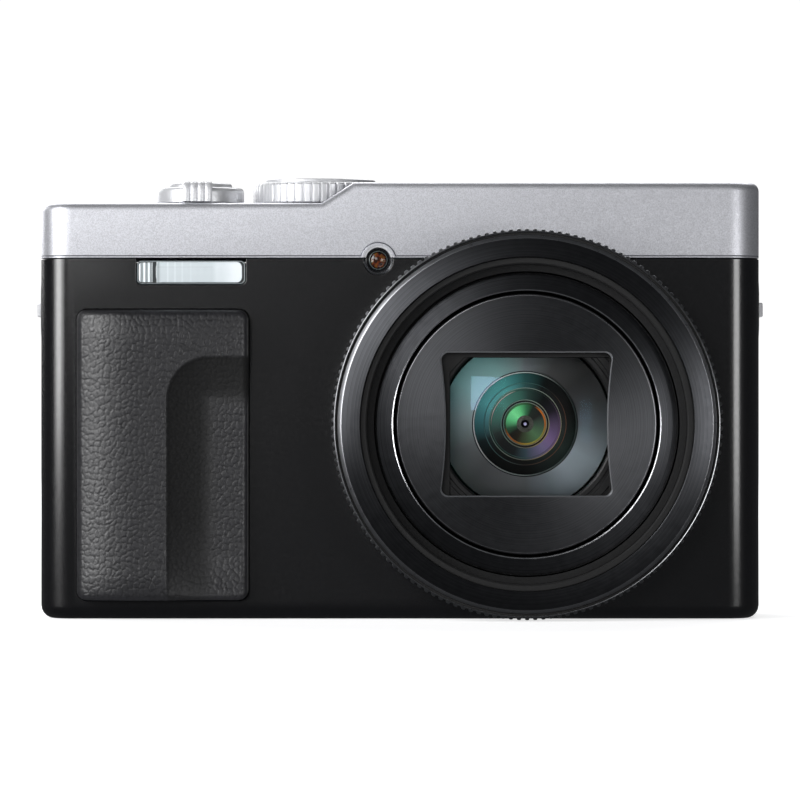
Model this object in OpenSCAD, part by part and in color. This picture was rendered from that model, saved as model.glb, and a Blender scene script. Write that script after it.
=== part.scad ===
// Compact digital camera: a metal-topped body with a hand grip, a two-stage zoom lens
// inside a turning control ring, a flip-up screen and an eye-level finder.
// X runs to the right as the lens is faced, Y away from the lens side, Z up.
// The origin is below the middle of the body, on the surface it stands on.

/* [Body] */
// Width of the black body
body_w = 109.7; // [109.2:0.1:109.9]
// Front face of the body, ahead of the middle
body_front = 10.5; // [10.3:0.1:10.7]
// Back face of the body, behind the middle
body_back = 17.2; // [17:0.1:17.4]
// Height of the joint between the black body and the top cover
seam_z = 54.8; // [54.4:0.1:55.2]
// Radius of the four upright corners
corner_r = 5; // [4:0.5:6]
// Radius of the bottom edges
foot_r = 2; // [1:0.5:2.5]

/* [Top cover] */
// Height of the low deck, which carries the release and the dials
deck_z = 63.3; // [63:0.1:63.8]
// Height of the raised side, over the finder
hump_z = 66.45; // [66:0.05:66.8]
// Radius of the upper edges
crown_r = 1.3; // [0.8:0.1:1.6]

/* [Lens] */
// Distance of the lens axis from the middle
lens_x = 19.1; // [18.5:0.1:19.5]
// Height of the lens axis
lens_z = 29.65; // [29.6:0.05:30.2]
// Radius over the teeth of the control ring
ring_r = 29.45; // [29.3:0.05:29.5]
// Front face of the control ring, ahead of the middle
ring_front = 20.8; // [20.6:0.1:20.8]
// Teeth round the control ring
ring_teeth = 150; // [120:10:180]
// Outer radius of the first barrel
barrel_r = 22.9; // [22.7:0.1:23]
// Outer radius of the second barrel
inner_r = 19.75; // [19.5:0.05:19.8]
// Half width of the window in the front plate
window_w = 12.15; // [11.8:0.05:12.3]
// Half height of the window in the front plate
window_h = 10.8; // [10.5:0.1:10.9]

/* [Controls] */
// Place of the release button and the zoom lever
release_x = -30.9; // [-32:0.1:-30]
// Place of the mode dial
dial_x = -12.8; // [-13.2:0.1:-12.5]
// Distance of the mode dial behind the middle
dial_y = 3; // [2.8:0.1:3.2]
// Radius of the mode dial
dial_r = 9.9; // [9.5:0.1:10]
// Flutes round the mode dial
dial_flutes = 48; // [40:2:64]
// Place of the rear control dial
rear_dial_x = -37.5; // [-38:0.1:-37]
// Height of the rear control dial
rear_dial_z = 21.2; // [20.5:0.1:22]

/* [Grip] */
// Left and right edges of the grip panel
grip_x = [-49, -23.05];
// Lower and upper edges of the grip panel
grip_z = [2.97, 46.97];
// Front of the grip, ahead of the middle
grip_front = 16.5; // [15.5:0.1:17]

/* [Hidden] */
$fn = 96;

black = "#222225";
silver = "#c9cace";
steel = "#9a9ca1";

half_w = body_w / 2;
side_in = half_w - 2.45;            // inner face of the side walls
front_in = -body_front + 1.6;       // inner face of the front wall
back_in = body_back - 1.6;          // inner face of the back wall
split_y = 3;                        // the front and rear covers meet here
foot_z = 1.5;                       // top of the rim round the base plate
cover_z = seam_z + 0.15;            // bottom of the top cover
deck_in = deck_z - 1.5;             // underside of the deck
hump_in = hump_z - 1.5;             // underside of the raised side
hump_x = [-11.9, -7];               // foot and top of the slope up to the raised side
slope_a = atan2(hump_z - deck_z, hump_x[1] - hump_x[0]);
far = 100;                          // past every face, for cuts that run right out

tube_r = 25.2;                      // fixed lens tube, outside
tube_bore = 24.1;                   // and inside
lens_hole = tube_r + 0.3;           // clearance for the tube in the covers
barrel_front = -16.6;
plate_front = -15.7;
leaf_r = 18.2;                      // the leaves are cut from a disc of this radius
leaf_z = 11.1;                      // straight edge of an open leaf, from the axis
glass_r = 13.1;                     // front glass

lug_z = 47.2;
lug_y = 3;
lamp_x = -3.3;
lamp_z = 54.55;
flash_x = [-40, -23.5];
flash_z = [50.9, 54.5];

screen_x = [-19.3, 51.9];
screen_z = [3.2, 51.6];
screen_y = [14.5, 19.6];
screen_axis = [19, 52.9];           // hinge of the screen, Y and Z
screen_knuckles = [[-14, -8], [39, 45]];

bay_x = [-51, -17.2];
door_x = [-50, -17.1];
door_y = [-6, 12];
door_axis = [-15.8, 0.9];           // hinge of the battery door, X and Z
port_door_y = [4.5, 13.5];
port_door_z = [31.6, 42.2];
port_axis = [54.33, 12.78];         // hinge of the terminal door, X and Y
pin_r = 0.35;
pin_bore = pin_r + 0.05;

tripod = [-4, 3.5];
finder_x = 39;
button_gap = 0.15;

// ---- shared shapes ----

// Points along an arc
function arc(cx, cy, r, a0, a1, n = 8) =
    [for (i = [0 : n]) let (a = a0 + (a1 - a0) * i / n) [cx + r * cos(a), cy + r * sin(a)]];

// Corners of a rectangle with round corners
function round_rect(x0, x1, y0, y1, r, n = 8) = concat(
    arc(x1 - r, y0 + r, r, -90, 0, n), arc(x1 - r, y1 - r, r, 0, 90, n),
    arc(x0 + r, y1 - r, r, 90, 180, n), arc(x0 + r, y0 + r, r, 180, 270, n));

// A circle with teeth: the radius swings between r_in and r_out
function toothed(count, r_in, r_out) =
    [for (i = [0 : 4 * count - 1]) let (a = 90 * i / count, r = i % 4 < 2 ? r_out : r_in)
        [r * cos(a), r * sin(a)]];

// An outline in X and Y, from z0 up to z1
module slab(points, z0, z1) {
    translate([0, 0, z0]) linear_extrude(z1 - z0) polygon(points);
}

// An outline in X and Z, from y0 back to y1
module facing(points, y0, y1) {
    translate([0, y1, 0]) rotate([90, 0, 0]) linear_extrude(y1 - y0) polygon(points);
}

// An outline in Y and Z, from x0 to x1
module sideways(points, x0, x1) {
    translate([x0, 0, 0]) rotate([90, 0, 90]) linear_extrude(x1 - x0) polygon(points);
}

module box(x, y, z) {
    translate([x[0], y[0], z[0]]) cube([x[1] - x[0], y[1] - y[0], z[1] - z[0]]);
}

// Round bars along each axis
module rod_x(y, z, r, x) {
    translate([x[0], y, z]) rotate([0, 90, 0]) cylinder(r = r, h = x[1] - x[0]);
}

module rod_y(x, z, r, y) {
    translate([x, y[0], z]) rotate([-90, 0, 0]) cylinder(r = r, h = y[1] - y[0]);
}

module rod_z(x, y, r, z) {
    translate([x, y, z[0]]) cylinder(r = r, h = z[1] - z[0]);
}

// A turned shape about the lens axis, from points of radius and Y
module turned(points) {
    translate([lens_x, 0, lens_z]) rotate([-90, 0, 0]) rotate_extrude() polygon(points);
}

// A ring about the lens axis
module lens_ring(r_out, r_in, y) {
    turned([[r_in, y[0]], [r_out, y[0]], [r_out, y[1]], [r_in, y[1]]]);
}

// A thing on the left and its mirror image on the right
module both_sides() {
    children();
    mirror([1, 0, 0]) children();
}

// ---- body shells ----

// Outline of the body seen from above, drawn in by d
function plan(d = 0) =
    round_rect(-half_w + d, half_w - d, -body_front + d, body_back - d, corner_r - d, 10);

// The black body as one block, with round bottom edges
module lower_block() {
    hull() {
        slab(plan(), foot_r, seam_z);
        for (a = [0 : 18 : 72])
            slab(plan(foot_r * (1 - sin(a))), foot_r * (1 - cos(a)), foot_r);
    }
}

// Raised rim round each strap lug, and the scoop inside it
module lug_rims() {
    both_sides() sideways(round_rect(lug_y - 6.8, lug_y + 6.8, lug_z - 5.6, lug_z + 5.6, 4),
        side_in + 1, half_w + 0.2);
}

module lug_scoops() {
    both_sides() sideways(round_rect(lug_y - 6, lug_y + 6, lug_z - 4.9, lug_z + 4.9, 3.4), half_w - 1.4, far);
    both_sides() box([half_w - 6, half_w], [lug_y - 4.1, lug_y + 4.1], [lug_z - 1.15, lug_z + 1.15]);
}

module body_cavity() {
    box([-side_in, side_in], [front_in, 13], [foot_z, far]);
    box([-side_in, screen_x[0] - 1.8], [12.9, back_in], [foot_z, far]);
    slab(round_rect(-51.6, 51.6, -7.6, 14.3, 3), -1, foot_z + 1);
}

module lens_opening() {
    rod_y(lens_x, lens_z, lens_hole, [-far, 8]);
}

module front_cover() {
    color(black) difference() {
        union() {
            intersection() {
                lower_block();
                box([-far, far], [-far, split_y], [-1, far]);
            }
            intersection() {
                lug_rims();
                box([-far, far], [-far, split_y], [-1, far]);
            }
        }
        body_cavity();
        lens_opening();
        lug_scoops();
        rod_y(lamp_x, lamp_z, 2.25, [-far, front_in + 1]);
        facing(round_rect(flash_x[0] - 0.1, flash_x[1] + 0.1, flash_z[0] - 0.1, far, 0.8),
            -far, front_in + 1);
        facing(round_rect(grip_x[0] - 0.15, grip_x[1] + 0.15, grip_z[0] - 0.15, grip_z[1] + 0.15, 1.6),
            -far, -body_front + 0.4);
    }
}

module rear_cover() {
    color(black) difference() {
        union() {
            intersection() {
                lower_block();
                box([-far, far], [split_y, far], [-1, far]);
            }
            intersection() {
                lug_rims();
                box([-far, far], [split_y, far], [-1, far]);
            }
        }
        body_cavity();
        lens_opening();
        lug_scoops();
        // seat of the screen
        box([screen_x[0] - 0.3, screen_x[1] + 0.3], [14.2, far], [screen_z[0] - 0.4, screen_z[1] + 0.3]);
        // seat of the terminal door, and the window for the sockets
        sideways(round_rect(port_door_y[0] - 0.2, port_door_y[1] + 0.3, port_door_z[0] - 0.2,
            port_door_z[1] + 0.2, 0.6), half_w - 1.35, far);
        box([side_in - 1, far], [6.9, 11.1], [32.6, 41.2]);
        rod_z(port_axis[0], port_axis[1], pin_r, [port_door_z[0] - 1.4, port_door_z[1] + 1.4]);
        rod_y(rear_dial_x, rear_dial_z, 9.8, [back_in - 1, far]);
        for (p = rear_buttons)
            rod_y(p[0], p[1], 2.4 + button_gap, [back_in - 1, far]);
    }
}

// A block with the body's outline and a round upper edge
module crowned(z) {
    hull() {
        slab(plan(), cover_z, z - crown_r);
        for (a = [15 : 15 : 90])
            slab(plan(crown_r * (1 - cos(a))), z - crown_r - 0.01, z - crown_r + crown_r * sin(a));
    }
}

// Front outline of the raised side and its slope, drawn in by e
function hump_outline(e) = let (foot = hump_x[0] + e / sin(slope_a)) [
    [foot - (deck_z - cover_z) / tan(slope_a), cover_z], [far, cover_z], [far, hump_z - e],
    [foot + (hump_z - e - deck_z) / tan(slope_a), hump_z - e]];

// The top cover as one block: the low deck, then the raised side and its slope
module cover_block() {
    crowned(deck_z);
    intersection() {
        crowned(hump_z);
        hull() for (a = [0 : 15 : 90])
            facing(hump_outline(crown_r * (1 - sin(a))), -body_front + crown_r * (1 - cos(a)),
                body_back - crown_r * (1 - cos(a)));
    }
}

module top_cover() {
    color(silver) difference() {
        union() {
            cover_block();
            // lip over the lamp
            rod_y(lamp_x, lamp_z, 2.65, [-body_front - 0.2, -body_front + 0.5]);
        }
        difference() {
            union() {
                box([-side_in, side_in], [front_in, back_in], [0, deck_in]);
                box([hump_x[1] + 1.5, side_in], [front_in, back_in], [0, hump_in]);
            }
            rod_z(dial_x, dial_y, dial_r + 2.2, [deck_in, far]);
        }
        box([-far, far], [-far, far], [0, cover_z]);
        lens_opening();
        rod_y(lamp_x, lamp_z, 2.25, [-far, front_in + 1]);
        rod_z(dial_x, dial_y, dial_r + 0.35, [deck_z, far]);
        rod_z(dial_x, dial_y, 2.6, [deck_in - 1, far]);
        rod_z(release_x, 0, 5.6, [deck_in - 1, far]);
        for (b = top_buttons)
            rod_z(b[0], b[1], b[2] + button_gap, [deck_in - 1, far]);
        // window of the finder
        box([finder_x - 8, finder_x + 8], [back_in - 1, far], [56.6, 64]);
        rod_y(24.5, 61, 2.65, [back_in - 1, far]);
        // microphone holes
        for (x = [8, 30])
            rod_z(x, -3, 0.5, [hump_in - 1, far]);
        // speaker holes
        for (i = [-2 : 2])
            rod_z(-48 + abs(i) * 0.4, 3 + i * 1.8, 0.4, [deck_in - 1, far]);
    }
}

module base_plate() {
    color(black) difference() {
        union() {
            slab(round_rect(-51.5, 51.5, -7.5, 14.2, 3), 0, 1.4);
            for (y = [-5.4, 9.2])
                box([door_axis[0] - 0.6, -14], [y, y + 2.2], [0, 1.75]);
        }
        difference() {
            box([door_x[0] - 0.2, -14.7], [door_y[0] - 0.2, door_y[1] + 0.2], [-1, far]);
            for (y = [-5.4, 9.2])
                box([door_axis[0] - 0.6, -13], [y, y + 2.2], [0, 1.75]);
        }
        rod_y(door_axis[0], door_axis[1], pin_r, [-5, 11]);
        rod_z(tripod[0], tripod[1], 4.5, [-1, far]);
        for (p = base_screws)
            screw_hole(p[0], p[1]);
    }
}

// ---- grip, flash, lamp and lugs ----

module grip_panel() {
    color("#3a3b3e") {
        facing(round_rect(grip_x[0], grip_x[1], grip_z[0], grip_z[1], 1.5), -12.4, -body_front + 0.4);
        // upright column for the fingers
        hull() {
            facing(round_rect(grip_x[0] + 0.1, -34.4, grip_z[0] + 0.1, grip_z[1] - 0.1, 1.5, 4), -12.3, -12);
            facing(round_rect(grip_x[0] + 2.4, -37.4, grip_z[0] + 1.6, grip_z[1] - 1.6, 1.5, 4),
                -grip_front, -grip_front + 0.5);
        }
        // bar along the top
        hull() {
            facing(round_rect(grip_x[0] + 0.1, grip_x[1] - 0.1, 39.3, grip_z[1] - 0.1, 1.5, 4), -12.3, -12);
            facing(round_rect(grip_x[0] + 2.4, grip_x[1] - 2, 41.2, grip_z[1] - 1.6, 1.2, 4), -15.4, -15);
        }
    }
}

module thumb_pad() {
    color("#2b2c2e") hull() {
        facing(round_rect(-49.3, -27, 40.5, 51.5, 2.5, 4), body_back, body_back + 1);
        facing(round_rect(-47, -38, 42, 50, 2.5, 4), body_back + 1, 20.8);
    }
}

module flash_window() {
    color("#e6eaec") facing(round_rect(flash_x[0], flash_x[1], flash_z[0], flash_z[1], 0.75),
        -body_front - 0.05, -9.7);
}

module flash_unit() {
    color("#c8ccd0") {
        difference() {
            box([flash_x[0] + 0.4, flash_x[1] - 0.4], [-9.6, -4.2], [flash_z[0] + 0.2, flash_z[1] - 0.1]);
            sideways([[-10, flash_z[0] + 0.5], [-10, flash_z[1] - 0.4], [-6, 53.4], [-6, 51.9]],
                flash_x[0] + 1, flash_x[1] - 1);
        }
        rod_x(-7, 52.7, 0.7, [flash_x[0] + 0.4, flash_x[1] - 0.4]);
    }
}

module flash_capacitor() {
    color("#26262a") rod_z(48.4, 1.5, 3.4, [4, 34]);
}

module lamp_bezel() {
    color(black) difference() {
        rod_y(lamp_x, lamp_z, 2.2, [-body_front - 0.1, -8.6]);
        rod_y(lamp_x, lamp_z, 1.25, [-far, -9.2]);
    }
}

module lamp_lens() {
    color("#c8502a") rod_y(lamp_x, lamp_z, 1.2, [-body_front + 0.1, -9.2]);
}

module strap_lugs() {
    color(steel) both_sides() difference() {
        slab(concat([[half_w - 3.4, lug_y - 4], [half_w - 3.4, lug_y + 4]],
            arc(53, lug_y + 1, 3, 90, 0), arc(53, lug_y - 1, 3, 0, -90)), lug_z - 1.1, lug_z + 1.1);
        slab(round_rect(53.6, 55.1, lug_y - 2.2, lug_y + 2.2, 0.7, 4), 0, far);
    }
}

// ---- lens ----

module lens_mount_ring() {
    color(black) lens_ring(28.9, lens_hole + 0.1, [-13, -body_front]);
}

module lens_tube() {
    color(black) turned([
        [tube_bore, -20.2], [25.65, -20.2], [25.65, -19.75], [tube_r, -19.75], [tube_r, -12.8],
        [lens_hole + 0.1, -12.8], [lens_hole + 0.1, -11], [tube_r, -11], [tube_r, 4.5], [tube_bore, 4.5]]);
}

module control_ring() {
    bore = tube_r + 0.06;
    color("#3c3c40") {
        turned([
            [bore, -13.2], [bore, -19.6], [25.75, -19.6], [25.75, -20.3], [24.85, -20.3],
            [24.85, -ring_front], [27.95, -20.5], [28.5, -19.95], [28.5, -19.6], [28.85, -19.6],
            [28.85, -20.1], [29.05, -20.05], [29.05, -13.2]]);
        translate([lens_x, -14.4, lens_z]) rotate([90, 0, 0]) difference() {
            linear_extrude(5.4) polygon(toothed(ring_teeth, 29.1, ring_r));
            translate([0, 0, -1]) cylinder(r = 28.95, h = 8);
        }
    }
}

module outer_barrel() {
    color("#2c2c30") turned([
        [20.15, barrel_front], [barrel_r - 0.3, barrel_front], [barrel_r, barrel_front + 0.3],
        [barrel_r, -0.5], [23.95, -0.5], [23.95, 1.5], [20.15, 1.5]]);
}

module inner_barrel() {
    color("#2c2c30") turned([
        [18.5, -15], [inner_r, -15], [inner_r, -1], [20, -1], [20, 0.5], [18.5, 0.5]]);
}

// Window of the front plate: its sides bow in, so it is widest at its corners
function window_side(s) = [for (i = [0 : 8]) let (z = s * window_h * (1 - i / 4))
    [s * (window_w + 0.85 * pow(z / window_h, 2)), z]];

module barrier_plate() {
    color(black) difference() {
        lens_ring(inner_r - 0.05, 0, [plate_front, -15]);
        translate([lens_x, 0, lens_z]) facing(concat(window_side(1), window_side(-1)), -far, far);
    }
}

// A leaf of the barrier, open: side is 1 above the window and -1 below it
module leaf(side, y) {
    lean = asin(leaf_z / leaf_r);
    first = side > 0 ? lean : 180 + lean;
    last = side > 0 ? 180 - lean : 360 - lean;
    color("#18181a") translate([lens_x, 0, lens_z])
        facing(arc(0, 0, leaf_r, first, last, 24), y, y + 0.35);
}

module upper_leaf_1() {
    leaf(1, -14.8);
}

module upper_leaf_2() {
    leaf(1, -14.25);
}

module lower_leaf_1() {
    leaf(-1, -14.8);
}

module lower_leaf_2() {
    leaf(-1, -14.25);
}

module front_lens_holder() {
    color(black) turned([
        [glass_r + 0.1, -13.7], [18.45, -13.7], [18.45, -4], [17, -4], [17, -12.4], [14.4, -12.4],
        [14.4, -9], [9.6, -5.4], [9.6, -4], [8.1, -4], [8.1, -6.2], [glass_r - 0.35, -9.6],
        [glass_r + 0.1, -9.6]]);
}

// A lens about the axis, with a domed front of the given rise
module dome_lens(r, front, rim, back) {
    turned(concat([[0, back], [r, back], [r, rim]],
        [for (i = [1 : 10]) let (t = r * (1 - i / 10)) [t, front + (rim - front) * pow(t / r, 2)]]));
}

module front_lens() {
    color("#5c7f86") dome_lens(glass_r, -12.95, -10.8, -9.7);
}

module zoom_lens_group() {
    color("#4d6a70") {
        dome_lens(8, -3.4, -2.6, -0.2);
        turned([[8.05, -3], [9.4, -3], [9.4, 0.7], [20.1, 0.7], [20.1, 1.5], [8.05, 1.5]]);
    }
}

module focus_lens_group() {
    color("#4d6a70") {
        dome_lens(6, 2.1, 2.7, 3.9);
        lens_ring(9, 6.05, [2.3, 4.5]);
    }
}

module sensor_mount() {
    color(steel) difference() {
        lens_ring(tube_r, 0, [4.5, 6.2]);
        box([lens_x - 6.5, lens_x + 6.5], [4, 7], [lens_z - 5.2, lens_z + 5.2]);
    }
}

module image_sensor() {
    color("#2e4a3a") {
        box([lens_x - 6.2, lens_x + 6.2], [5.2, 6.4], [lens_z - 4.9, lens_z + 4.9]);
        box([lens_x - 11, lens_x + 11], [6.3, 7.1], [lens_z - 9, lens_z + 9]);
    }
}

module zoom_motor() {
    color(steel) {
        rod_y(-10.2, 46, 3.8, [-6, 5]);
        rod_y(-10.2, 46, 1, [4.9, 7.6]);
    }
}

// ---- inside the body ----

posts = [[-44, 49], [0, 7], [40, 50], [-12, 33]];
base_screws = [[-11.5, -4.5], [-11.5, 11.4], [20, 11.4], [46.5, -4.5], [46.5, 11.4]];
screw_head_r = 1.1;
screw_r = 0.55;

module screw_hole(x, y) {
    rod_z(x, y, screw_head_r + 0.08, [-1, 0.6]);
    rod_z(x, y, screw_r + 0.1, [-1, 8]);
}

module chassis() {
    color(steel) {
        difference() {
            box([-51, 44.5], [8.2, 9], [3, 54]);
            box([lens_x - 12, lens_x + 12], [8, 10], [lens_z - 10, lens_z + 10]);
            for (p = posts)
                rod_y(p[0], p[1], screw_r, [0, 20]);
        }
        for (p = posts)
            difference() {
                rod_y(p[0], p[1], 1.5, [9, 10.5]);
                rod_y(p[0], p[1], screw_r, [0, 20]);
            }
        difference() {
            union() {
                box([-13.5, 50], [-6.5, 13], [1.6, 2.8]);
                box([-13.5, 44.5], [8.2, 9], [2.7, 3.1]);
            }
            rod_z(tripod[0], tripod[1], 4.5, [0, 9]);
            for (p = base_screws)
                rod_z(p[0], p[1], screw_r, [0, 9]);
        }
    }
}

module screws() {
    color(steel) {
        for (p = base_screws)
            difference() {
                union() {
                    rod_z(p[0], p[1], screw_head_r, [0.1, 0.6]);
                    rod_z(p[0], p[1], screw_r, [0.5, 3]);
                }
                cross_slot([p[0], p[1], 0]);
            }
        for (p = posts) {
            rod_y(p[0], p[1], screw_r, [8.4, 11.5]);
            rod_y(p[0], p[1], screw_head_r, [11.45, 11.95]);
        }
    }
}

module cross_slot(at) {
    translate(at) {
        cube([1.2, 0.3, 0.7], center = true);
        cube([0.3, 1.2, 0.7], center = true);
    }
}

module hinge_pins() {
    color(steel) {
        rod_y(door_axis[0], door_axis[1], pin_r, [-5, 11]);
        rod_z(port_axis[0], port_axis[1], pin_r, [port_door_z[0] - 1.4, port_door_z[1] + 1.4]);
        for (k = screen_knuckles)
            rod_x(screen_axis[0], screen_axis[1], pin_r, [k[0] - 2.8, k[1] + 2.8]);
    }
}

module tripod_socket() {
    color("#b8a26a") difference() {
        union() {
            rod_z(tripod[0], tripod[1], 4.5, [0, 3]);
            rod_z(tripod[0], tripod[1], 4.2, [2.9, 7]);
        }
        rod_z(tripod[0], tripod[1], 3.175, [-1, 5.9]);
    }
}

module main_board() {
    color("#1f5a3c") {
        difference() {
            box([-51, 50], [10.5, 11.4], [4, 53]);
            for (p = posts)
                rod_y(p[0], p[1], screw_r + 0.1, [8, 14]);
        }
        // image processor, memory and power chips
        box([22, 34], [11.4, 12.6], [20, 32]);
        box([6, 14], [11.4, 12.4], [22, 30]);
        box([-16, -8], [11.4, 12.4], [12, 20]);
        // sockets behind the terminal door
        box([46, 53.2], [7.3, 10.5], [38, 40.9]);
        box([46.5, 53.2], [7.3, 10.5], [33.2, 36.2]);
    }
}

module top_board() {
    color("#1f5a3c") box([-50.5, -5], [-7.5, 14], [57, 57.8]);
}

module battery_bay() {
    color("#303236") difference() {
        box(bay_x, [-8.7, 8], [2, 47]);
        box([bay_x[0] + 1.1, bay_x[1] - 1.1], [-7.6, 1.6], [1, 46]);
        box([-48.6, -23.9], [2.7, 5.3], [1, 36]);
    }
}

module battery() {
    color("#4a4d55") box([bay_x[0] + 1.3, bay_x[1] - 1.3], [-7.4, 1.4], [2.1, 45]);
}

module memory_card() {
    color("#23252c") facing([[-48.3, 3], [-24.2, 3], [-24.2, 35], [-45.6, 35], [-48.3, 32.3]], 2.9, 5);
}

module battery_door() {
    color(black) difference() {
        union() {
            box(door_x, door_y, [0.05, 1.25]);
            box([-17.5, door_axis[0]], [-2.9, 8.9], [0.05, 1.25]);
            rod_y(door_axis[0], door_axis[1], 0.85, [-2.9, 8.9]);
        }
        rod_y(door_axis[0], door_axis[1], pin_bore, [-5, 11]);
        box([-47.4, -40], [1, 5], [-1, 3]);
    }
}

module door_latch() {
    color("#3a3b3e") difference() {
        box([-47.2, -42.6], [1.2, 4.8], [0.15, 1.15]);
        for (i = [0 : 3])
            box([-46.4 + i, -46 + i], [0, 6], [-1, 0.4]);
    }
}

module terminal_door() {
    color(black) difference() {
        union() {
            box([half_w - 1.24, half_w + 0.2], [port_door_y[0], port_axis[1]], port_door_z);
            rod_z(port_axis[0], port_axis[1], 0.72, port_door_z);
        }
        rod_z(port_axis[0], port_axis[1], pin_bore, [0, far]);
    }
}

// ---- screen and finder ----

module screen_housing() {
    color(black) {
        difference() {
            facing(round_rect(screen_x[0], screen_x[1], screen_z[0], screen_z[1], 2),
                screen_y[0], screen_y[1]);
            facing(round_rect(screen_x[0] + 1.4, screen_x[1] - 1.4, screen_z[0] + 1.4, screen_z[1] - 1.4, 1),
                screen_y[1] - 3, far);
        }
        for (k = screen_knuckles)
            difference() {
                union() {
                    rod_x(screen_axis[0], screen_axis[1], 0.85, k);
                    box(k, [screen_axis[0] - 0.8, screen_y[1]], [screen_z[1] - 0.3, screen_axis[1]]);
                }
                rod_x(screen_axis[0], screen_axis[1], pin_bore, [k[0] - 1, k[1] + 1]);
            }
    }
}

module screen_glass() {
    color("#15171b") facing(round_rect(screen_x[0] + 1.5, screen_x[1] - 1.5, screen_z[0] + 1.5,
        screen_z[1] - 1.5, 0.9), screen_y[1] - 2.9, screen_y[1] - 0.1);
}

module screen_bracket() {
    color(black) for (k = screen_knuckles)
        for (x = [[k[0] - 3, k[0] - 0.2], [k[1] + 0.2, k[1] + 3]])
            difference() {
                union() {
                    rod_x(screen_axis[0], screen_axis[1], 0.85, x);
                    box(x, [body_back, screen_axis[0]], [screen_axis[1] - 0.5, screen_axis[1] + 0.85]);
                }
                rod_x(screen_axis[0], screen_axis[1], pin_r, [k[0] - 2.8, k[1] + 2.8]);
            }
}

module finder_housing() {
    color(black) difference() {
        box([finder_x - 9, finder_x + 9], [-6, back_in - 0.1], [55.4, 64.7]);
        box([finder_x - 7, finder_x + 7], [-4, far], [57, 63.2]);
    }
}

module finder_eyepiece() {
    color("#1b1b1d") difference() {
        union() {
            facing(round_rect(finder_x - 10.5, finder_x + 10.5, 55.4, 65.3, 2), body_back, 18);
            facing(round_rect(finder_x - 7.9, finder_x + 7.9, 56.7, 63.9, 0.8),
                back_in + 0.1, body_back + 0.1);
        }
        facing(round_rect(finder_x - 6.2, finder_x + 6.2, 57.4, 63.1, 1.2), 0, far);
    }
}

module finder_lens() {
    color("#3c4a55") facing(round_rect(finder_x - 6.1, finder_x + 6.1, 57.5, 63, 1.1), 16, 17.3);
}

module diopter_dial() {
    color(black) {
        rod_y(24.5, 61, 2.5, [15.7, 17.9]);
        rod_y(24.5, 61, 3.2, [14.6, 15.5]);
        rod_y(24.5, 61, 1.5, [15.4, 15.8]);
    }
}

// ---- controls ----

// Buttons through the deck: X, Y and radius
top_buttons = [[-41.5, 9.5, 2.9], [-27, 11.2, 2.4]];
// Buttons through the back: X and Z
rear_buttons = [[-46.8, 35.2], [-28.2, 35.2], [-46.8, 7.4], [-28.2, 7.4]];

module mode_dial() {
    color(silver) {
        difference() {
            translate([dial_x, dial_y, 63.5]) linear_extrude(3.25)
                polygon(toothed(dial_flutes, dial_r - 0.3, dial_r));
            rod_z(dial_x, dial_y, dial_r - 0.8, [66.3, far]);
        }
        rod_z(dial_x, dial_y, dial_r - 0.85, [66.2, 67.2]);
        rod_z(dial_x, dial_y, 2.55, [57.95, 63.7]);
    }
}

module zoom_lever() {
    color(silver) difference() {
        union() {
            rod_z(release_x, 0, 6.9, [63.5, 65.9]);
            rod_z(release_x, 0, 5.45, [60.5, 63.7]);
            box([release_x - 2.2, release_x + 2.2], [-8.7, -5.5], [63.5, 66.75]);
        }
        rod_z(release_x, 0, 5.2, [0, far]);
    }
}

module shutter_button() {
    color(silver) {
        rod_z(release_x, 0, 5.05, [64.6, 66.6]);
        rod_z(release_x, 0, 1.4, [59, 64.7]);
    }
}

// A coil of wire that holds the release up
module shutter_spring() {
    turns = 5;
    steps = 12;
    wire = 0.22;
    coil_r = 2.4;
    z0 = 58.1;
    pitch = 1.2;
    rings = turns * steps;
    corners = 6;
    points = [for (i = [0 : rings], k = [0 : corners - 1]) let (a = 360 * i / steps, b = 360 * k / corners)
        [release_x + (coil_r + wire * cos(b)) * cos(a), (coil_r + wire * cos(b)) * sin(a),
            z0 + pitch * i / steps + wire * sin(b)]];
    sides = [for (i = [0 : rings - 1], k = [0 : corners - 1]) let (n = (k + 1) % corners)
        [i * corners + k, (i + 1) * corners + k, (i + 1) * corners + n, i * corners + n]];
    first = [for (k = [0 : corners - 1]) k];
    last = [for (k = [corners - 1 : -1 : 0]) rings * corners + k];
    color(steel) polyhedron(points, concat(sides, [first], [last]));
}

// A round push button through the deck, held in by a flange
module top_button(b) {
    rod_z(b[0], b[1], b[2], [58.6, deck_z + 0.5]);
    rod_z(b[0], b[1], b[2] + 0.6, [60.6, 61.6]);
}

module power_button() {
    color(silver) top_button(top_buttons[0]);
}

module record_button() {
    color("#a03028") top_button(top_buttons[1]);
}

// A round push button through the back, held in by a flange
module rear_button(p) {
    color(black) {
        rod_y(p[0], p[1], 2.4, [12.4, 17.7]);
        rod_y(p[0], p[1], 3, [14.3, 15.3]);
    }
}

module rear_dial() {
    color("#2c2c30") difference() {
        union() {
            rod_y(rear_dial_x, rear_dial_z, 9.6, [14, 18.3]);
            rod_y(rear_dial_x, rear_dial_z, 10.4, [14, 15.3]);
        }
        rod_y(rear_dial_x, rear_dial_z, 6.4, [0, far]);
    }
}

module set_button() {
    color(black) rod_y(rear_dial_x, rear_dial_z, 6.2, [12.4, 18]);
}

module play_button() {
    rear_button(rear_buttons[0]);
}

module display_button() {
    rear_button(rear_buttons[1]);
}

module menu_button() {
    rear_button(rear_buttons[2]);
}

module delete_button() {
    rear_button(rear_buttons[3]);
}

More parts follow.
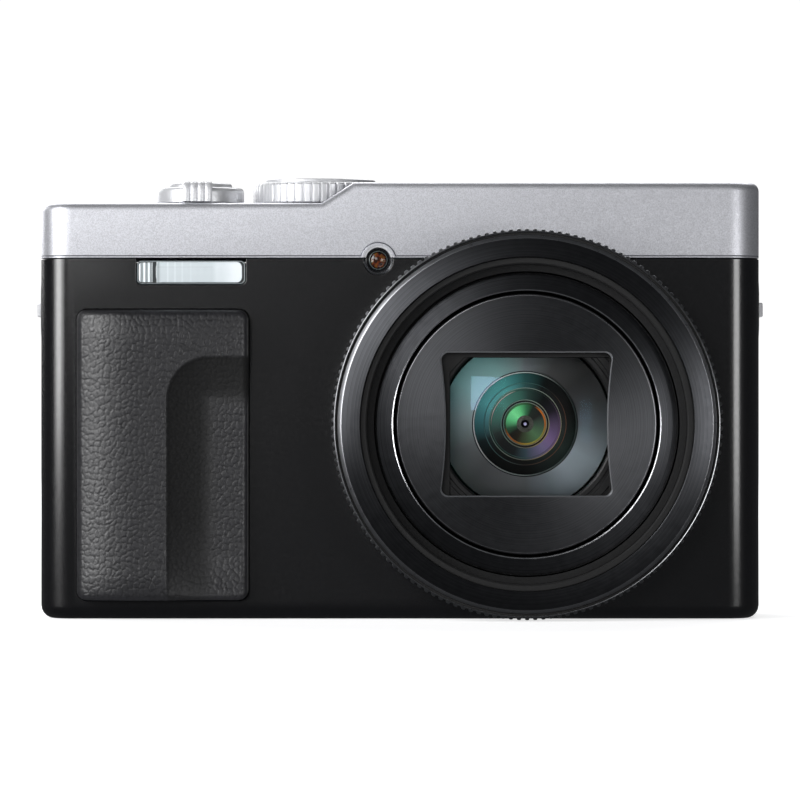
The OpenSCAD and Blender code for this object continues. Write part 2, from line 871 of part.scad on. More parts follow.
front_cover();
rear_cover();
top_cover();
base_plate();
grip_panel();
thumb_pad();
flash_window();
flash_unit();
flash_capacitor();
lamp_bezel();
lamp_lens();
strap_lugs();
lens_mount_ring();
lens_tube();
control_ring();
outer_barrel();
inner_barrel();
barrier_plate();
upper_leaf_1();
upper_leaf_2();
lower_leaf_1();
lower_leaf_2();
front_lens_holder();
front_lens();
zoom_lens_group();
focus_lens_group();
sensor_mount();
image_sensor();
zoom_motor();
main_board();
top_board();
chassis();
screws();
hinge_pins();
tripod_socket();
battery_bay();
battery();
memory_card();
battery_door();
door_latch();
screen_housing();
screen_glass();
screen_bracket();
finder_housing();
finder_eyepiece();
finder_lens();
diopter_dial();
mode_dial();
shutter_button();
shutter_spring();
zoom_lever();
power_button();
record_button();
rear_dial();
set_button();
play_button();
display_button();
menu_button();
delete_button();
terminal_door();
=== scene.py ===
"""Looks for the compact digital camera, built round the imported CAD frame.

Lengths in the helpers are millimetres and become metres when a mesh is made. X runs to the right of someone
who faces the lens, Y runs away from them and Z runs up.
"""
import math

import bmesh
import bpy
import numpy as np
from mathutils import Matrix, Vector


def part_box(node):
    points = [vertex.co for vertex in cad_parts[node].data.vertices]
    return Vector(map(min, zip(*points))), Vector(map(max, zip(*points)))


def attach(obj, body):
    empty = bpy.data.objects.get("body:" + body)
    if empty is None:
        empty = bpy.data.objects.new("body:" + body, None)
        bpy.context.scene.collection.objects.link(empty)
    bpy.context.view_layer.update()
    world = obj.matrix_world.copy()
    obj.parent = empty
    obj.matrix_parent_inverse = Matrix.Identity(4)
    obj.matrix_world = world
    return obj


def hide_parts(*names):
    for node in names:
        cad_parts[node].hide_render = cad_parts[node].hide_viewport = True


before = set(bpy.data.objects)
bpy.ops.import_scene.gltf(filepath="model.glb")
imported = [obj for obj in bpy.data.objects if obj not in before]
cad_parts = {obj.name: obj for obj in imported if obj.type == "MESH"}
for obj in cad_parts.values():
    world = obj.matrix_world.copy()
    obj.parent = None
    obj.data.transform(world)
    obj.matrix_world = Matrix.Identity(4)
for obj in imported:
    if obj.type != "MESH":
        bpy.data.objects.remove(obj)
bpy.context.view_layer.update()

MM = 0.001
TAU = 2 * math.pi
LENS = (19.1, 0, 29.65)
RELEASE = (-30.9, 0, 0)
MODE_DIAL = (-12.8, 3, 0)
REAR_DIAL = (-37.5, 0, 21.2)
LAMP = (-3.3, 0, 54.55)
DIOPTER = (24.5, 0, 61)
CONTROLS_Z = 63.52
FLAT = 1e-6
NEARLY_STRAIGHT = math.radians(86)


# ---------------------------------------------------------------- geometry

def add_object(name, vertices, faces):
    """A new mesh object from millimetre vertices, with outward normals."""
    mesh = bpy.data.meshes.new(name)
    mesh.from_pydata([Vector(v) * MM for v in vertices], [], faces)
    work = bmesh.new()
    work.from_mesh(mesh)
    bmesh.ops.remove_doubles(work, verts=work.verts, dist=FLAT)
    bmesh.ops.recalc_face_normals(work, faces=work.faces)
    work.to_mesh(mesh)
    work.free()
    piece = bpy.data.objects.new(name, mesh)
    bpy.context.collection.objects.link(piece)
    return piece


def shade(piece, angle):
    """Smooth faces, with edges sharper than the angle kept crisp."""
    mesh = piece.data
    mesh.polygons.foreach_set("use_smooth", [True] * len(mesh.polygons))
    mesh.set_sharp_from_angle(angle=math.radians(angle))


def bevel(piece, width, segments=3, angle=30):
    """Rounds the edges sharper than the angle, by a width in millimetres."""
    step = piece.modifiers.new("rounded_edges", "BEVEL")
    step.width = width * MM
    step.segments = segments
    step.limit_method = "ANGLE"
    step.angle_limit = math.radians(angle)
    step.use_clamp_overlap = True
    step.harden_normals = True


def finish(piece, body, material, replaced=(), angle=35):
    """Gives a piece its material and its body, and hides the CAD nodes it stands for."""
    piece.data.materials.clear()
    piece.data.materials.append(material)
    shade(piece, angle)
    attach(piece, body)
    if replaced:
        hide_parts(*replaced)
    return piece


def rounded(points, radius, steps=4, closed=True):
    """The outline with each corner turned into an arc of up to that radius. Part of each side is left."""
    count = len(points)
    most = 0.45
    result = []
    for index, point in enumerate(points):
        if not closed and index in (0, count - 1):
            result.append(tuple(point))
            continue
        here = np.array(point, float)
        back = np.array(points[index - 1], float) - here
        ahead = np.array(points[(index + 1) % count], float) - here
        length_back = np.linalg.norm(back)
        length_ahead = np.linalg.norm(ahead)
        back /= length_back
        ahead /= length_ahead
        half = math.acos(float(np.clip(back @ ahead, -1, 1))) / 2
        if half > NEARLY_STRAIGHT:
            result.append(tuple(here))
            continue
        reach = min(radius / math.tan(half), most * length_back, most * length_ahead)
        actual = reach * math.tan(half)
        middle = back + ahead
        centre = here + middle / np.linalg.norm(middle) * actual / math.sin(half)
        start = here + back * reach - centre
        end = here + ahead * reach - centre
        for step in range(steps + 1):
            share = step / steps
            arm = start * (1 - share) + end * share
            result.append(tuple(centre + arm / np.linalg.norm(arm) * actual))
    return result


def lathe(name, profile, centre, axis="y", count=192, closed=True):
    """Turns a profile of (radius, height) round the y or z axis. A radius may be a function of the angle.

    A closed profile is a ring clear of the axis. An open one starts and ends on the axis."""
    angles = [TAU * k / count for k in range(count)]
    rings = []
    for radius, height in profile:
        reach = radius if callable(radius) else (lambda angle, fixed=radius: fixed)
        ring = []
        for angle in angles:
            across = reach(angle) * math.sin(angle)
            up = reach(angle) * math.cos(angle)
            if axis == "y":
                ring.append((centre[0] + across, height, centre[2] + up))
            else:
                ring.append((centre[0] + across, centre[1] - up, height))
        rings.append(ring)
    vertices = [vertex for ring in rings for vertex in ring]
    faces = []
    spans = len(rings) if closed else len(rings) - 1
    for low in range(spans):
        high = (low + 1) % len(rings)
        for k in range(count):
            after = (k + 1) % count
            corners = [low * count + k, low * count + after, high * count + after, high * count + k]
            faces.append(corners)
    return add_object(name, vertices, faces)


def prism(name, outline, low, high, plane="xz"):
    """A flat outline pushed from low to high along the axis it doesn't use."""
    count = len(outline)

    def place(point, height):
        first, second = point
        return (first, height, second) if plane == "xz" else (first, second, height)

    vertices = [place(point, low) for point in outline] + [place(point, high) for point in outline]
    sides = [[k, (k + 1) % count, count + (k + 1) % count, count + k] for k in range(count)]
    faces = sides + [list(range(count)), list(range(count, 2 * count))]
    return add_object(name, vertices, faces)


def rectangle(x0, x1, z0, z1):
    return [(x0, z0), (x1, z0), (x1, z1), (x0, z1)]


def reach_of(outline):
    """How far a closed outline is from the origin inside it, by the angle from the second axis."""
    points = np.array(outline, float)
    nexts = np.roll(points, -1, axis=0)

    def reach(angle):
        direction = np.array([math.sin(angle), math.cos(angle)])
        edge = nexts - points
        cross = direction[0] * edge[:, 1] - direction[1] * edge[:, 0]
        cross = np.where(abs(cross) < 1e-12, 1e-12, cross)
        along = (points[:, 0] * edge[:, 1] - points[:, 1] * edge[:, 0]) / cross
        share = (points[:, 0] * direction[1] - points[:, 1] * direction[0]) / cross
        hits = along[(share >= -1e-9) & (share <= 1 + 1e-9) & (along > 0)]
        return float(hits.max())

    return reach


def carried(node, width, body, material, segments=3, angle=30):
    """A copy of a CAD node with its flat faces merged and its edges rounded, which stands for it."""
    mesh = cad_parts[node].data.copy()
    mesh.name = node + "_skin"
    work = bmesh.new()
    work.from_mesh(mesh)
    bmesh.ops.remove_doubles(work, verts=work.verts, dist=4 * FLAT)
    bmesh.ops.dissolve_limit(work, angle_limit=math.radians(0.5), verts=work.verts, edges=work.edges)
    bmesh.ops.recalc_face_normals(work, faces=work.faces)
    work.to_mesh(mesh)
    work.free()
    if "custom_normal" in mesh.attributes:
        mesh.attributes.remove(mesh.attributes["custom_normal"])
    piece = bpy.data.objects.new(node + "_skin", mesh)
    bpy.context.collection.objects.link(piece)
    finish(piece, body, material, (node,), angle)
    bevel(piece, width, segments, angle)
    return piece


# ---------------------------------------------------------------- materials

def tone(red, green, blue):
    """A linear colour from display values of 0 to 255."""
    shares = [value / 255 for value in (red, green, blue)]
    linear = [s / 12.92 if s <= 0.04045 else ((s + 0.055) / 1.055) ** 2.4 for s in shares]
    return (*linear, 1.0)


class Look:
    """One Principled material whose textures are laid out in millimetres."""

    def __init__(self, name, color, roughness, **sockets):
        self.material = bpy.data.materials.new(name)
        self.material.use_nodes = True
        self.tree = self.material.node_tree
        self.shader = self.tree.nodes["Principled BSDF"]
        self.color = color
        self.roughness = roughness
        self.set("Base Color", color)
        self.set("Roughness", roughness)
        for socket, value in sockets.items():
            self.set(socket.replace("_", " "), value)
        self.place = self.vector("MULTIPLY", self.node("ShaderNodeTexCoord")["Object"], [1 / MM] * 3)

    def join(self, value, socket):
        """Links a node's output to a socket, or sets the socket to a constant."""
        if isinstance(value, bpy.types.NodeSocket):
            self.tree.links.new(value, socket)
        else:
            socket.default_value = value

    def set(self, socket, value):
        """Gives one of the shader's sockets a constant or a node's output."""
        self.join(value, self.shader.inputs[socket])

    def node(self, kind, inputs=(), **settings):
        """The outputs of a new node with those settings and inputs."""
        made = self.tree.nodes.new(kind)
        for setting, value in settings.items():
            setattr(made, setting, value)
        for socket, value in dict(inputs).items():
            self.join(value, made.inputs[socket])
        return made.outputs

    def vector(self, operation, first, second=(0, 0, 0)):
        """An operation on two vectors, each a constant or a node's output."""
        outputs = self.node("ShaderNodeVectorMath", {0: first, 1: second}, operation=operation)
        return outputs["Value" if operation == "LENGTH" else "Vector"]

    def math(self, operation, first, second=0.0):
        """An operation on two values, each a number or a node's output."""
        return self.node("ShaderNodeMath", {0: first, 1: second}, operation=operation)[0]

    def parts(self, source):
        return self.node("ShaderNodeSeparateXYZ", {0: source})

    def distance_from(self, centre, spread=(1, 0, 1)):
        """How far a point is from an axis through the centre, in millimetres."""
        offset = self.vector("SUBTRACT", self.place, centre)
        return self.vector("LENGTH", self.vector("MULTIPLY", offset, spread))

    def bearing(self, centre):
        """The bearing round a front-to-back axis, as a share of a clockwise turn from straight down."""
        offset = self.parts(self.vector("SUBTRACT", self.place, centre))
        return self.span(self.math("ARCTAN2", offset["X"], offset["Z"]), 0.0, 1.0, -math.pi, math.pi)

    def noise(self, scale, detail=2.0, source=None):
        """Noise with that many features a millimetre, laid out in space unless another source is given."""
        inputs = {"Scale": scale, "Detail": detail, "Vector": source or self.place}
        return self.node("ShaderNodeTexNoise", inputs)["Fac"]

    def noise_along(self, value, scale):
        """Noise that changes only with one value, with that many features a millimetre."""
        inputs = {"Scale": scale, "Detail": 2.0, "W": value}
        return self.node("ShaderNodeTexNoise", inputs, noise_dimensions="1D")["Fac"]

    def cells(self, scale):
        return self.node("ShaderNodeTexVoronoi", {"Scale": scale, "Vector": self.place})["Distance"]

    def attribute(self, name):
        return self.node("ShaderNodeAttribute", attribute_name=name)["Fac"]

    def span(self, source, low, high, start=0.0, end=1.0):
        """The source, mapped from start..end to low..high."""
        inputs = {"Value": source, "From Min": start, "From Max": end, "To Min": low, "To Max": high}
        return self.node("ShaderNodeMapRange", inputs)["Result"]

    def ramp(self, source, stops):
        """Colours along the source, as (place, colour) stops."""
        made = self.tree.nodes.new("ShaderNodeValToRGB")
        elements = made.color_ramp.elements
        while len(elements) < len(stops):
            elements.new(0.5)
        for element, (place, color) in zip(elements, stops):
            element.position = place
            element.color = color
        self.join(source, made.inputs["Fac"])
        return made.outputs["Color"]

    def colors(self, source, stops):
        self.set("Base Color", self.ramp(source, stops))
        return self

    def paint(self, source, spread):
        """Varies the colour up and down by the spread."""
        dark, light = shade_of(self.color, 1 - spread), shade_of(self.color, 1 + spread)
        return self.colors(source, [(0.3, dark), (0.7, light)])

    def polish(self, source, spread):
        """Varies the roughness up and down by the spread."""
        self.set("Roughness", self.span(source, self.roughness - spread, self.roughness + spread, 0.3, 0.7))
        return self

    def bump(self, source, depth):
        """Adds relief of that depth in millimetres to any relief already there."""
        inputs = {"Distance": depth * MM, "Strength": 1.0, "Height": source}
        normal = self.shader.inputs["Normal"]
        if normal.is_linked:
            inputs["Normal"] = normal.links[0].from_socket
        self.set("Normal", self.node("ShaderNodeBump", inputs)["Normal"])
        return self

    def turned(self, axis):
        """Highlights that run round an axis, as on lathe-turned metal."""
        self.set("Tangent", self.node("ShaderNodeTangent", direction_type="RADIAL", axis=axis)["Tangent"])
        self.set("Anisotropic Rotation", 0.25)
        return self


def shade_of(color, factor):
    return tuple(min(1.0, channel * factor) for channel in color[:3]) + (1.0,)


SEAM_GROOVE_Z = 55.22
LAMP_GROOVE_RADIUS = 2.68


def painted_silver():
    """Metallic paint, with the fine groove that follows the lower edge and arches over the lamp, darkened by
    painted shade.
    """
    look = Look("silver_paint", tone(224, 225, 231), 0.46, Metallic=0.9)
    sparkle = look.noise(7.0, 1.0)
    above_seam = look.math("SUBTRACT", look.parts(look.place)["Z"], SEAM_GROOVE_Z)
    beyond_lamp = look.math("SUBTRACT", look.distance_from(LAMP), LAMP_GROOVE_RADIUS)
    beyond_lamp = look.math("MAXIMUM", beyond_lamp, look.parts(look.place)["Y"])
    from_groove = look.math("ABSOLUTE", look.math("MINIMUM", above_seam, beyond_lamp))
    flat = look.span(from_groove, 0.0, 1.0, 0.03, 0.1)
    grain = look.ramp(sparkle, [(0.35, shade_of(look.color, 0.87)), (0.65, shade_of(look.color, 1.13))])
    # painted shade: the colour darkens along the groove over the seam and round the lamp
    groove_shade = look.ramp(flat, [(0.0, tone(150, 151, 158)), (1.0, tone(255, 255, 255))])
    look.set("Base Color", look.vector("MULTIPLY", grain, groove_shade))
    look.polish(look.noise(3.0), 0.06)
    return look.bump(sparkle, 0.006).bump(flat, 0.05).material


def satin_black():
    coat = {"Coat_Weight": 0.35, "Coat_Roughness": 0.3}
    look = Look("satin_black_paint", tone(5, 5, 7), 0.19, Specular_IOR_Level=1.0, **coat)
    look.paint(look.noise(0.6, 3.0), 0.18).polish(look.noise(2.0, 3.0), 0.03)
    return look.bump(look.noise(9.0), 0.0012).material


def moulded_black():
    look = Look("moulded_black_plastic", tone(26, 26, 28), 0.55)
    look.paint(look.noise(1.2, 3.0), 0.2).polish(look.noise(4.0), 0.06)
    return look.bump(look.cells(5.0), 0.012).material


def leather():
    look = Look("grained_leather", tone(28, 28, 30), 0.42, Specular_IOR_Level=0.7)
    # painted shade in the creases and painted light on the crests, from the mark the relief stores
    look.colors(look.attribute("crest"), [(0.0, tone(6, 6, 6)), (0.4, tone(18, 18, 19)),
                                          (1.0, tone(33, 33, 36))])
    matt = look.span(look.attribute("rubbed"), 0.0, 0.35)
    uneven = look.span(look.noise(2.5, 3.0), look.roughness - 0.09, look.roughness + 0.09, 0.3, 0.7)
    look.set("Roughness", look.math("ADD", uneven, matt))
    return look.bump(look.noise(7.0, 3.0), 0.012).material


def turned_black(name, color, roughness, anisotropy, grooves=9.0, depth=0.004):
    """Dark anodised metal with fine turning marks round the lens axis."""
    look = Look(name, color, roughness, Metallic=1.0, Anisotropic=anisotropy)
    marks = look.noise_along(look.distance_from(LENS), grooves)
    look.paint(marks, 0.22).polish(look.noise(1.0, 3.0), 0.03)
    look.bump(marks, depth)
    return look.turned("Y").material


def gloss_black():
    look = Look("gloss_black_plastic", tone(10, 10, 11), 0.12)
    look.paint(look.noise(0.3), 0.2).polish(look.noise(1.5, 3.0), 0.03)
    return look.bump(look.noise(0.8), 0.002).material


def flat_black(name, color=tone(13, 13, 14), roughness=0.7):
    look = Look(name, color, roughness)
    look.paint(look.noise(2.0, 3.0), 0.25).polish(look.noise(5.0), 0.05)
    return look.bump(look.noise(8.0), 0.006).material


def bright_metal(name, color, roughness):
    look = Look(name, color, roughness, Metallic=1.0)
    look.paint(look.noise(1.5, 3.0), 0.06).polish(look.noise(6.0, 2.0), 0.05)
    return look.bump(look.noise(14.0), 0.001).material


def dial_silver(name, centre):
    """Satin aluminium with turning marks round an upright axis."""
    look = Look(name, tone(228, 229, 232), 0.34, Metallic=0.45, Anisotropic=0.3)
    marks = look.noise_along(look.distance_from(centre, (1, 1, 0)), 8.0)
    look.paint(marks, 0.05).polish(look.noise(3.0), 0.04)
    look.bump(marks, 0.0015)
    return look.turned("Z").material


def rubber():
    look = Look("black_rubber", tone(22, 22, 23), 0.72)
    look.paint(look.noise(1.5, 3.0), 0.2).polish(look.noise(5.0), 0.06)
    return look.bump(look.cells(4.0), 0.015).material


def coloured(name, color, roughness, metallic=0.0, grain=5.0):
    """A plain moulded, plated or printed surface in one colour with fine grain."""
    look = Look(name, color, roughness, Metallic=metallic)
    look.paint(look.noise(grain, 3.0), 0.12).polish(look.noise(grain * 0.6), 0.05)
    return look.bump(look.noise(grain * 1.6), 0.004).material


GLASS_RADIUS = 13.1


def front_coating():
    """Clear glass whose faint reflections are teal at its rim, bluish further in and then nearly black, and
    which painted shade dims on the right and lower side.
    """
    look = Look("front_coating", tone(176, 216, 250), 0.02, Metallic=1.0)
    share = look.span(look.distance_from(LENS), 0.0, 1.0, 0.0, GLASS_RADIUS)
    rings = look.ramp(share, [(0.59, tone(24, 60, 58)), (0.61, tone(176, 214, 250)),
                              (0.78, tone(168, 210, 240)), (0.88, tone(110, 215, 200)),
                              (1.0, tone(104, 210, 190))])
    faint = tone(70, 84, 88)
    full = tone(255, 255, 255)
    # painted shade: by the bearing, the reflections are dimmed on the right and lower side and kept on the
    # left and top
    sides = look.ramp(look.bearing(LENS), [(0.0, faint), (0.12, full), (0.5, full), (0.58, faint)])
    look.set("Base Color", look.vector("MULTIPLY", rings, sides))
    fresnel = look.node("ShaderNodeFresnel", {"IOR": 1.5})["Fac"]
    look.set("Alpha", look.span(fresnel, 0.06, 1.0, 0.04, 1.0))
    look.polish(look.noise(0.4), 0.008)
    return look.bump(look.noise(0.15), 0.0005).material


def painted_reflection_band(name, stops, painted_light_gain):
    """A satin surface with painted reflections whose tint changes with the bearing, brightened with painted
    light because it lies in shade deep in the barrel.
    """
    look = Look(name, tone(60, 60, 60), 0.45, Specular_IOR_Level=0.3)
    painted_stops = [(place, shade_of(tone(*color), painted_light_gain)) for place, color in stops]
    look.colors(look.bearing(LENS), painted_stops + [(1.0, painted_stops[0][1])])
    look.polish(look.noise(2.0), 0.04)
    return look.bump(look.noise_along(look.distance_from(LENS), 6.0), 0.001).material


# ---------------------------------------------------------------- lens

def repaint(piece, material, chosen):
    """Gives the faces whose centre, in millimetres, passes the test another material."""
    piece.data.materials.append(material)
    index = len(piece.data.materials) - 1
    for polygon in piece.data.polygons:
        if chosen(polygon.center / MM):
            polygon.material_index = index


def from_axis(point, centre=LENS):
    """How far a point is from an axis that runs front to back, the lens axis unless told otherwise."""
    return math.hypot(point.x - centre[0], point.z - centre[2])


def teeth(count, low, high, width=0.5, soft=0.25):
    """A radius that steps between low and high round the axis, as rounded teeth do."""
    def reach(angle):
        wave = 0.5 + 0.5 * math.cos(count * angle)
        share = min(1.0, max(0.0, (wave - (1 - width) + soft) / (2 * soft)))
        return low + (high - low) * share * share * (3 - 2 * share)
    return reach


def build_control_ring():
    """The knurled ring: a turned face, a bright chamfer, a dark groove and a band of fine teeth."""
    tooth = teeth(150, 29.1, 29.43)
    half_tooth = teeth(150, 29.08, 29.32)
    face = [(25.26, -13.2), (25.26, -19.6), (25.75, -19.65), (25.75, -20.3), (25.2, -20.3), (25.1, -20.4),
            (25.1, -20.7), (25.2, -20.8), (27.92, -20.5), (28.0, -20.46), (28.48, -19.96), (28.5, -19.6),
            (28.84, -19.6), (28.87, -20.04), (28.96, -20.1), (29.04, -20.06)]
    band = [(29.1, -19.98), (half_tooth, -19.84), (tooth, -19.66), (tooth, -14.5), (half_tooth, -14.35),
            (29.05, -14.2), (29.05, -13.3), (28.95, -13.2)]
    ring = lathe("control_ring_body", face + band, LENS, count=1500)
    face_metal = turned_black("turned_ring_face", tone(76, 77, 80), 0.34, 0.75, grooves=7.0, depth=0.006)
    finish(ring, "control_ring", face_metal, ("control_ring",), angle=40)
    chamfer = turned_black("bright_chamfer", tone(176, 177, 181), 0.3, 0.35)
    repaint(ring, chamfer, lambda p: 27.93 < from_axis(p) < 28.49)
    dark = flat_black("groove_black", tone(11, 11, 12), 0.6)
    repaint(ring, dark, lambda p: from_axis(p) < 25.8 and p.y > -20.68)
    repaint(ring, dark, lambda p: 28.49 < from_axis(p) < 28.88)
    knurl = coloured("knurl_metal", tone(150, 151, 154), 0.32, metallic=1.0, grain=4.0)
    repaint(ring, knurl, lambda p: from_axis(p) > 28.88)


def build_lens_tube():
    """The mount ring, the fixed tube and its dust seal."""
    mount = [(25.6, -13.0), (28.75, -13.0), (28.9, -12.85), (28.9, -10.5), (25.6, -10.5)]
    finish(lathe("mount_ring", mount, LENS), "camera_body", satin_black(), ("lens_mount_ring",))

    tube = [(24.1, -20.0), (24.3, -20.2), (25.0, -20.2), (25.05, -19.9), (25.6, -19.9), (25.6, -19.75),
            (25.2, -19.75), (25.2, -12.8), (25.6, -12.8), (25.6, -11.0), (25.2, -11.0), (25.2, 4.5),
            (24.1, 4.5)]
    tube_piece = lathe("lens_tube_wall", tube, LENS)
    finish(tube_piece, "camera_body", flat_black("tube_black", tone(12, 12, 13), 0.55),
           ("lens_tube",))
    inside = flat_black("tube_inside", tone(16, 16, 17), 0.7)
    repaint(tube_piece, inside, lambda p: from_axis(p) < 24.2)
    washer = [(23.02, -18.2), (24.12, -18.6), (24.12, -17.9), (23.02, -17.7)]
    seal = lathe("dust_seal", rounded(washer, 0.1), LENS)
    finish(seal, "camera_body", flat_black("seal_felt", tone(13, 13, 14), 0.9))


def build_moving_barrels():
    """The two barrels that slide in the fixed tube."""
    outer = [(20.15, -16.4), (20.18, -16.55), (20.32, -16.6), (22.64, -16.3), (22.8, -16.22), (22.88, -16.12),
             (22.9, -16.0), (22.9, -0.5), (23.95, -0.5), (23.95, 1.5), (20.15, 1.5)]
    outer_piece = lathe("outer_barrel_shell", outer, LENS)
    barrel_metal = turned_black("turned_barrel", tone(76, 77, 80), 0.34, 0.75, grooves=6.0, depth=0.006)
    finish(outer_piece, "outer_barrel", barrel_metal, ("outer_barrel",), angle=12)
    edge = turned_black("bright_edge", tone(226, 227, 231), 0.24, 0.3)
    repaint(outer_piece, edge, lambda p: 22.65 < from_axis(p) < 22.89 and p.y < -15.9)
    repaint(outer_piece, edge, lambda p: 20.14 < from_axis(p) < 20.3 and p.y < -16.3)
    dark = flat_black("barrel_inside", tone(8, 8, 9), 0.7)
    repaint(outer_piece, dark, lambda p: from_axis(p) < 20.2 and p.y > -16.3)

    inner = [(18.5, -15.0), (19.62, -15.0), (19.75, -14.87), (19.75, -1.0), (20.0, -1.0), (20.0, 0.5),
             (18.5, 0.5)]
    inner_piece = lathe("inner_barrel_shell", inner, LENS)
    finish(inner_piece, "inner_barrel", barrel_metal, ("inner_barrel",))


def window_outline(grow=0.0):
    """The picture window: straight above and below, with sides that bow in between rounded corners."""
    half_height = 10.8 + grow
    side = [(12.15 + grow + 0.85 * (level / 4) ** 2, half_height * level / 4) for level in range(-4, 5)]
    other = [(-x, z) for x, z in reversed(side)]
    return rounded(side + other, 1.3, 6)


def build_barrier_plate():
    """The front plate with its picture window."""
    window = reach_of(window_outline())
    lip = reach_of(window_outline(0.2))
    shoulder = rounded([(18.0, -15.7), (19.7, -15.66), (19.7, -15.0)], 0.28, 6, closed=False)[1:]
    profile = [(window, -15.0), (window, -15.42), (lip, -15.7)] + shoulder
    plate = lathe("barrier_front", profile, LENS, count=720)
    plate_metal = turned_black("turned_plate", tone(90, 91, 94), 0.38, 0.68, grooves=8.0, depth=0.004)
    finish(plate, "inner_barrel", plate_metal, ("barrier_plate",), angle=32)
    edge = turned_black("plate_edge", tone(172, 173, 177), 0.3, 0.3)
    repaint(plate, edge, lambda p: from_axis(p) > 19.44 and p.y < -15.4)
    lip_metal = coloured("window_lip", tone(150, 152, 156), 0.38, metallic=0.7)
    repaint(plate, lip_metal, lambda p: -15.65 < p.y < -15.43 and from_axis(p) < 18.5)
    dark = flat_black("window_wall", tone(9, 9, 10), 0.6)
    repaint(plate, dark, lambda p: p.y > -15.43)


def build_leaves():
    leaf = coloured("leaf_coating", tone(30, 31, 33), 0.45, metallic=0.4)
    for name in ("upper_leaf_1", "upper_leaf_2", "lower_leaf_1", "lower_leaf_2"):
        carried(name, 0.08, name, leaf, segments=2)


def build_window_shade_sheet():
    """The plate behind the leaves, whose opening has one cut corner: a black sheet that stands in for shade
    along the window's left and top edges.
    """
    front = [(-11.6, -11.6), (12.7, -11.6), (12.7, 10.15), (-9.35, 10.15), (-11.6, 7.8)]
    back = [(-11.5, -11.5), (12.6, -11.5), (12.6, 10.05), (-9.3, 10.05), (-11.5, 7.75)]
    # painted shade: the opening is narrower than the window at the left and top and cut at the upper left
    opening, soft_opening = [reach_of(rounded(corners, 0.25, 3)) for corners in (front, back)]
    profile = [(opening, -13.86), (18.3, -13.86), (18.3, -13.74), (soft_opening, -13.74)]
    mask = lathe("window_shade_sheet", profile, LENS, count=360)
    finish(mask, "inner_barrel", flat_black("shade_sheet_black", tone(10, 10, 11), 0.5))


def dome(rim_radius, rim_height, vertex_height, inner_radius=0.0, steps=14):
    """Profile points of a shallow cap from its rim to its inner radius, as a parabola."""
    points = []
    for step in range(steps + 1):
        radius = rim_radius + (inner_radius - rim_radius) * step / steps
        rise = 1 - (radius / rim_radius) ** 2
        points.append((radius, rim_height + (vertex_height - rim_height) * rise))
    return points


# Bands of the second lens cell from the outside in: outer and inner radius, their heights, and the look.
CELL_BANDS = [
    (8.06, 7.96, -6.45, -6.6, "cell_black"),
    (7.93, 7.8, -6.68, -6.68, "cell_rim"),
    (7.74, 6.34, -6.3, -6.8, "outer_coating"),
    (6.3, 6.22, -6.86, -6.86, "outer_line"),
    (6.18, 5.56, -6.82, -6.95, "outer_coating"),
    (5.53, 5.45, -7.02, -7.02, "middle_line"),
    (5.42, 5.26, -6.92, -6.9, "inner_coating"),
    (5.24, 5.15, -6.95, -6.95, "rose_line"),
    (5.12, 3.74, -6.88, -6.5, "inner_coating"),
    (3.7, 3.62, -6.62, -6.62, "middle_line"),
    (3.58, 3.36, -6.45, -6.45, "cell_black"),
    (3.32, 3.25, -6.55, -6.55, "middle_line"),
    (3.2, 2.94, -6.4, -6.45, "amber_coating"),
    (2.92, 1.9, -6.5, -6.8, "green_coating"),
    (1.9, 1.3, -6.8, -6.9, "green_coating"),
    (1.3, 0.66, -6.9, -6.98, "iris_brown"),
    (0.62, 0.26, -6.8, -6.5, "cell_black"),
    (0.24, 0.0, -6.45, -6.55, "blue_spot"),
]
